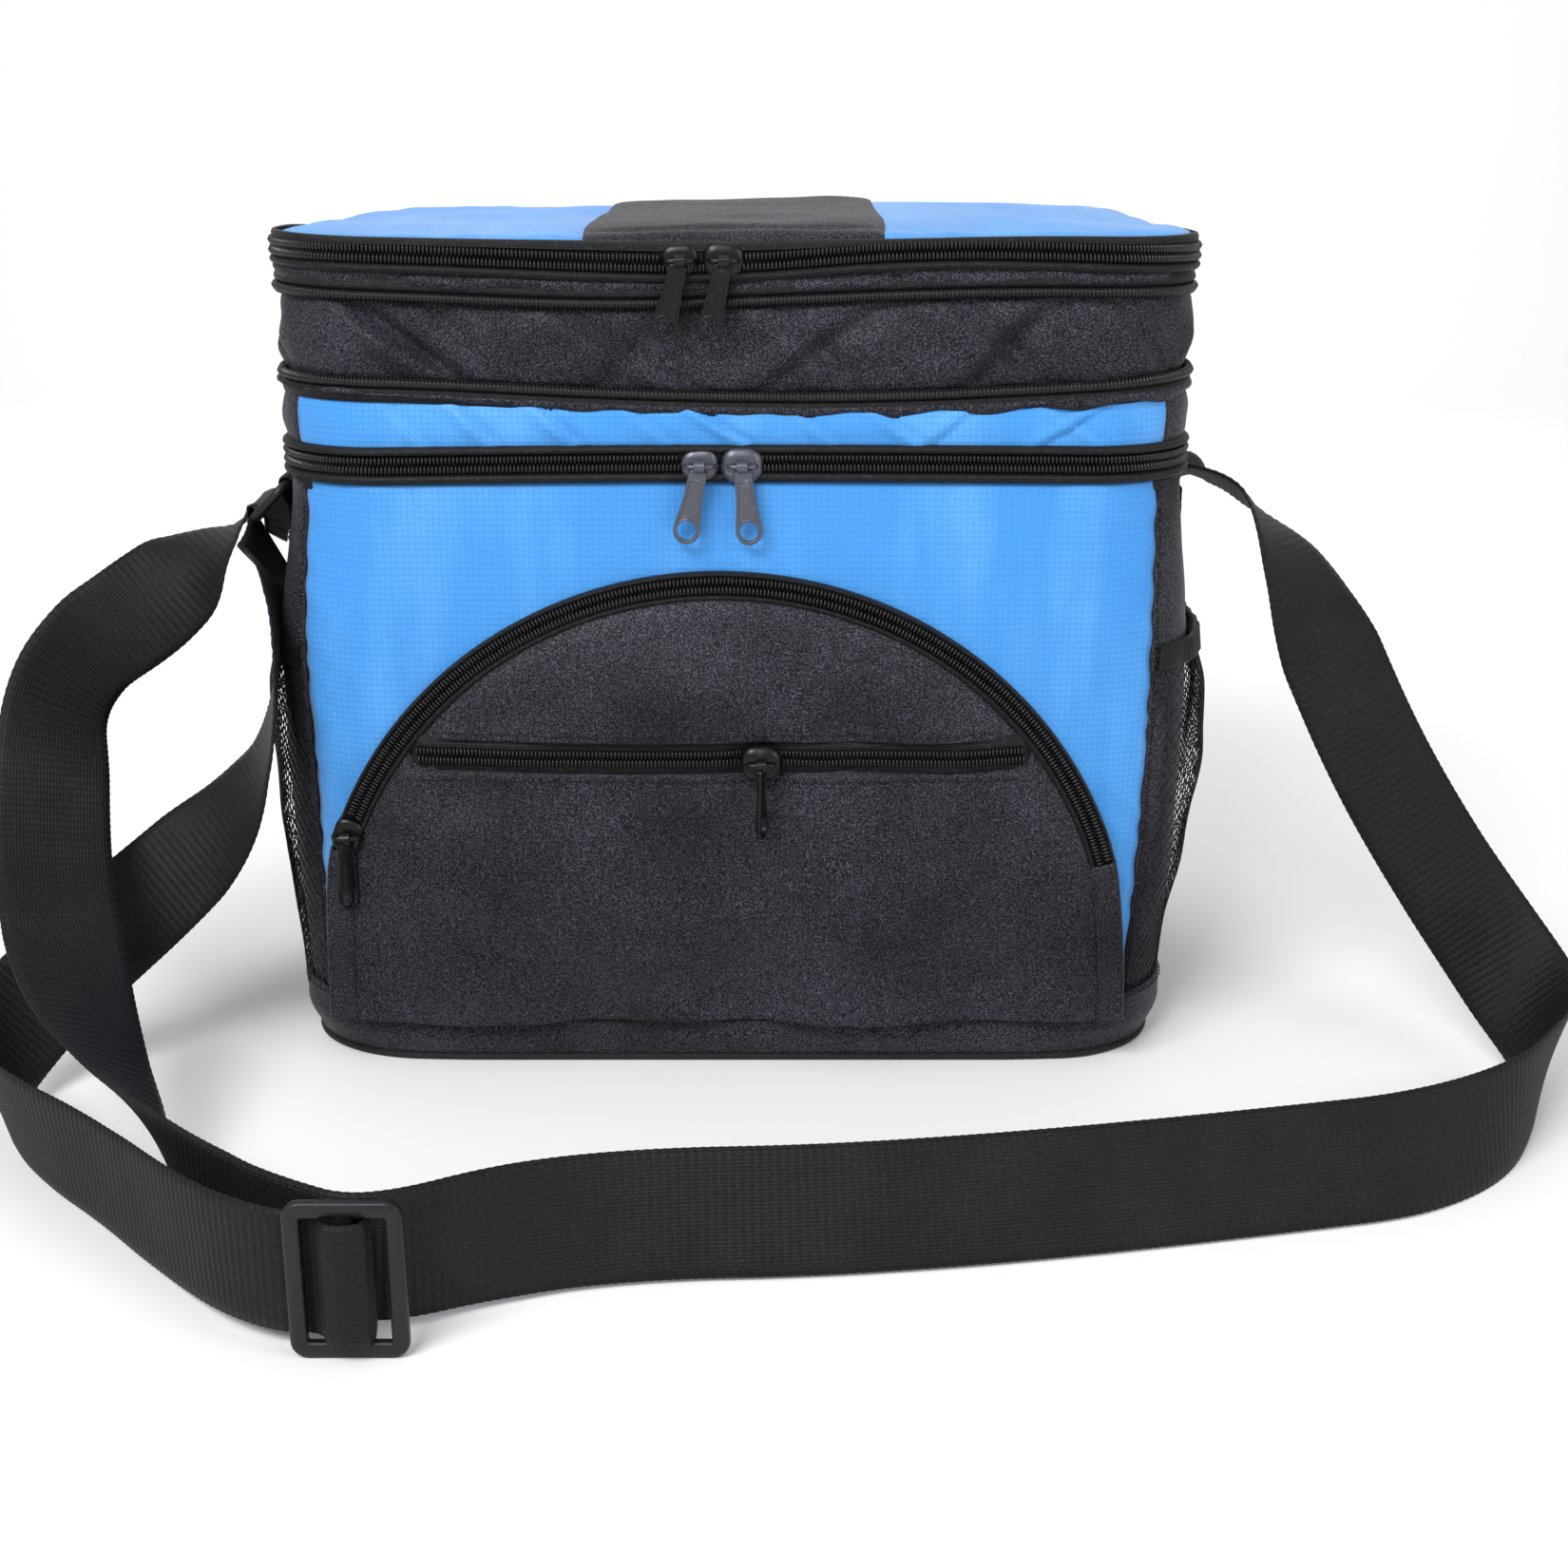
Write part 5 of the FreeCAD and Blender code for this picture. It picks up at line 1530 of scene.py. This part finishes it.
SLIDER_HEIGHT = 9.05        # of the CAD slider, from its back plate to the top of its bridge
SLIDER_FACE = 2.75          # from the middle of the chain to the top of the front plate


def slider(node, out, along, up, metal, bridge_along=None):
    """A zip slider: round-shouldered top plate with turned-down sides, bottom plate and bridge."""
    lo, hi = cad_box(node)
    out, along, up = (unit(v) for v in (out, along, up))
    bridge_along = along if bridge_along is None else unit(bridge_along)
    depth = np.abs(hi - lo) @ np.abs(out)
    face = (lo + hi) / 2 + out * (depth / 2 - SLIDER_HEIGHT + SLIDER_FACE)      # the middle of the chain
    stations = np.linspace(-6, 6, 19)
    # teardrop: round nose at the shoulders' end, narrower tail
    half = 4.9 * np.sqrt(np.maximum(1 - ((np.abs(stations) - 2.4).clip(0) / 3.75) ** 2, 0.0))
    half = np.maximum(half, 1.2) * (1 - 0.10 * smooth_step(0, 6, stations))
    shell, flat = [], []
    for a, h in zip(stations, half):
        end = 1 - 0.35 * (abs(a) / 6) ** 6
        side = [(-h, 0.1), (-h * 1.02, 1.5), (-h * 0.9, 2.3 * end), (-h * 0.5, 2.65 * end)]
        section = side + [(0, SLIDER_FACE * end)] + [(-u, o) for u, o in side[::-1]]
        shell.append([face + along * a + up * u + out * o for u, o in section])
        flat.append([face + along * a + up * u * h - out * 2.6 for u in np.linspace(-1, 1, 7)])
    plate = solid(grid(node + "_plate", np.array(shell), metal), 0.9)
    bottom = solid(grid(node + "_back_plate", np.array(flat), metal), 1.0)
    arch = [(-4.6, 2.3), (-4.5, 4.1), (-3.9, 5.2), (-2.6, 5.75)]
    arch = arch + [(0, 5.85)] + [(-a, o) for a, o in arch[::-1]]
    path = [face + bridge_along * a + out * (o - 0.45) for a, o in arch]
    return [plate, bottom, tube(node + "_bridge", rounded_path(path), 0.85, metal, 10)]


def rounded_path(path):
    """The path with its corners cut off, twice over."""
    path = np.array(path)
    for _ in range(2):
        new = [path[0]]
        for a, b in zip(path[:-1], path[1:]):
            new += [a * 0.75 + b * 0.25, a * 0.25 + b * 0.75]
        path = np.array(new + [path[-1]])
    return path


def plate_mesh(outlines, thick, edge):
    """A flat plate with holes from closed outlines, with a small rounded edge; points in millimetres."""
    data = bpy.data.curves.new("plate", "CURVE")
    data.dimensions = "2D"
    data.fill_mode = "BOTH"
    data.extrude = (thick / 2 - edge) * MM
    data.bevel_depth = edge * MM
    data.bevel_resolution = 2
    data.offset = -edge * MM
    for outline in outlines:
        spline = data.splines.new("POLY")
        spline.points.add(len(outline) - 1)
        for point, (x, y) in zip(spline.points, outline):
            point.co = (x * MM, y * MM, 0, 1)
        spline.use_cyclic_u = True
    obj = bpy.data.objects.new("plate", data)
    bpy.context.scene.collection.objects.link(obj)
    mesh = bpy.data.meshes.new_from_object(obj.evaluated_get(bpy.context.evaluated_depsgraph_get()))
    work = bmesh.new()
    work.from_mesh(mesh)
    bmesh.ops.remove_doubles(work, verts=work.verts, dist=0.00002)
    points = np.array([v.co[:] for v in work.verts]) / MM
    faces = [[v.index for v in f.verts] for f in work.faces]
    work.free()
    bpy.data.objects.remove(obj)
    return points, faces


def circle(y, radius):
    """A round outline whose centre is at x = 0."""
    turn = np.linspace(0, TAU, 28, endpoint=False)
    return np.column_stack([radius * np.cos(turn), y + radius * np.sin(turn)])


TAB_HOLE = -21.2            # height of the hole's centre in a pull tab, from its hinge


def tab_outline(inset=0.0):
    """Half widths down the tab, closed by a round end."""
    levels = np.array([-1.2, -2.5, -5, -9, -13, -17, -19.5])
    halves = np.array([2.3, 3.1, 3.05, 3.1, 3.4, 3.95, 4.35]) - inset
    levels[0] -= inset
    turn = np.linspace(0, -math.pi, 17)
    end = np.column_stack([(4.4 - inset) * np.cos(turn), -21.3 + (4.4 - inset) * np.sin(turn)])
    right, left = (np.column_stack([sign * halves, levels]) for sign in (1, -1))
    return np.concatenate([right, end, left[::-1]])


def pull_tab(node, out, metal, lean=0.0, turn=0.0):
    """A pull tab that hangs from its slider's bridge; lean turns it in its plane, turn about its length."""
    lo, hi = cad_box(node)
    out, down = unit(out), np.array([0, 0, 1.0])
    pivot = (lo + hi) / 2
    pivot[2] = hi[2] - 1.8
    plates = (plate_mesh([tab_outline(), circle(TAB_HOLE, 3.2)], 1.2, 0.3),
              plate_mesh([tab_outline(), tab_outline(0.95)[2:-2]], 1.9, 0.35),
              plate_mesh([circle(TAB_HOLE, 4.1), circle(TAB_HOLE, 3.15)], 1.9, 0.35))
    # the eye round the bridge: a short pipe, outside and inside
    count, sides = 5, 20
    turns = np.linspace(0, TAU, sides, endpoint=False)
    pipe = np.array([(a, r * math.cos(t), r * math.sin(t)) for r in (2.05, 1.25)
                     for a in np.linspace(-1.7, 1.7, count) for t in turns])
    faces = grid_faces(count, sides, close_columns=True)[:, ::-1].tolist()
    faces += (grid_faces(count, sides, close_columns=True) + count * sides).tolist()
    for row, flip in ((0, False), (count - 1, True)):
        for c in range(sides):
            d = (c + 1) % sides
            quad = [row * sides + c, row * sides + d, (count + row) * sides + d, (count + row) * sides + c]
            faces.append(quad[::-1] if flip else quad)
    side = np.cross(down, out) * -1
    c, s = math.cos(math.radians(lean)), math.sin(math.radians(lean))
    axis_x, axis_z = side * c - down * s, side * s + down * c
    c, s = math.cos(math.radians(turn)), math.sin(math.radians(turn))
    plate_axes = np.array([axis_x * c + out * s, axis_z, out * c - axis_x * s])
    parts = [(pivot + np.asarray(points) @ plate_axes, index) for points, index in plates]
    parts.append((pivot + pipe @ np.array([side, -out, down]), faces))
    made = join(node + "_tab", parts, metal)
    made.data.set_sharp_from_angle(angle=math.radians(40))
    return made


def fit_slider(node, out, along, up=UP, metal="black_metal", lean=0.0, turn=0.0, bridge_along=None):
    """A slider and its pull tab, each on its own body."""
    pull = node.replace("slider", "pull")
    for obj in slider(node, out, along, up, M[metal], bridge_along):
        on_body(obj, node, metal, node)
    on_body(pull_tab(pull, out, M[metal], lean, turn), pull, metal, pull)


def sliders():
    """All seven sliders with their pull tabs."""
    for node, lean in (("lid_slider_left", -14), ("lid_slider_right", -12), ("mid_slider_left", -12),
                       ("mid_slider_right", 6)):
        nose = 1 if node.endswith("left") else -1
        metal = "black_metal" if node.startswith("lid") else "gunmetal"
        fit_slider(node, FRONT, (-nose, 0, 0), metal=metal, lean=lean)
    parked = math.radians(158.5)        # the pocket slider's place on the arc
    radial = (math.cos(parked), 0, math.sin(parked))
    fit_slider("pocket_slider", FRONT, (-radial[2], 0, radial[0]), radial, turn=52, bridge_along=(1, 0, 0))
    fit_slider("face_slider", FRONT, (1, 0, 0), turn=72)
    fit_slider("expansion_slider", BACK, (-1, 0, 0), lean=5)


round_zips()
lower_walls()
upper_walls()
expansion_cloth()
rim_cloth()
base()
lid()
handle()
inside()
hinge_cloth()
pocket()
mesh_pocket(-1, "left")
mesh_pocket(1, "right")
anchors()
strap_ring()
sliders()
shoulder_strap()
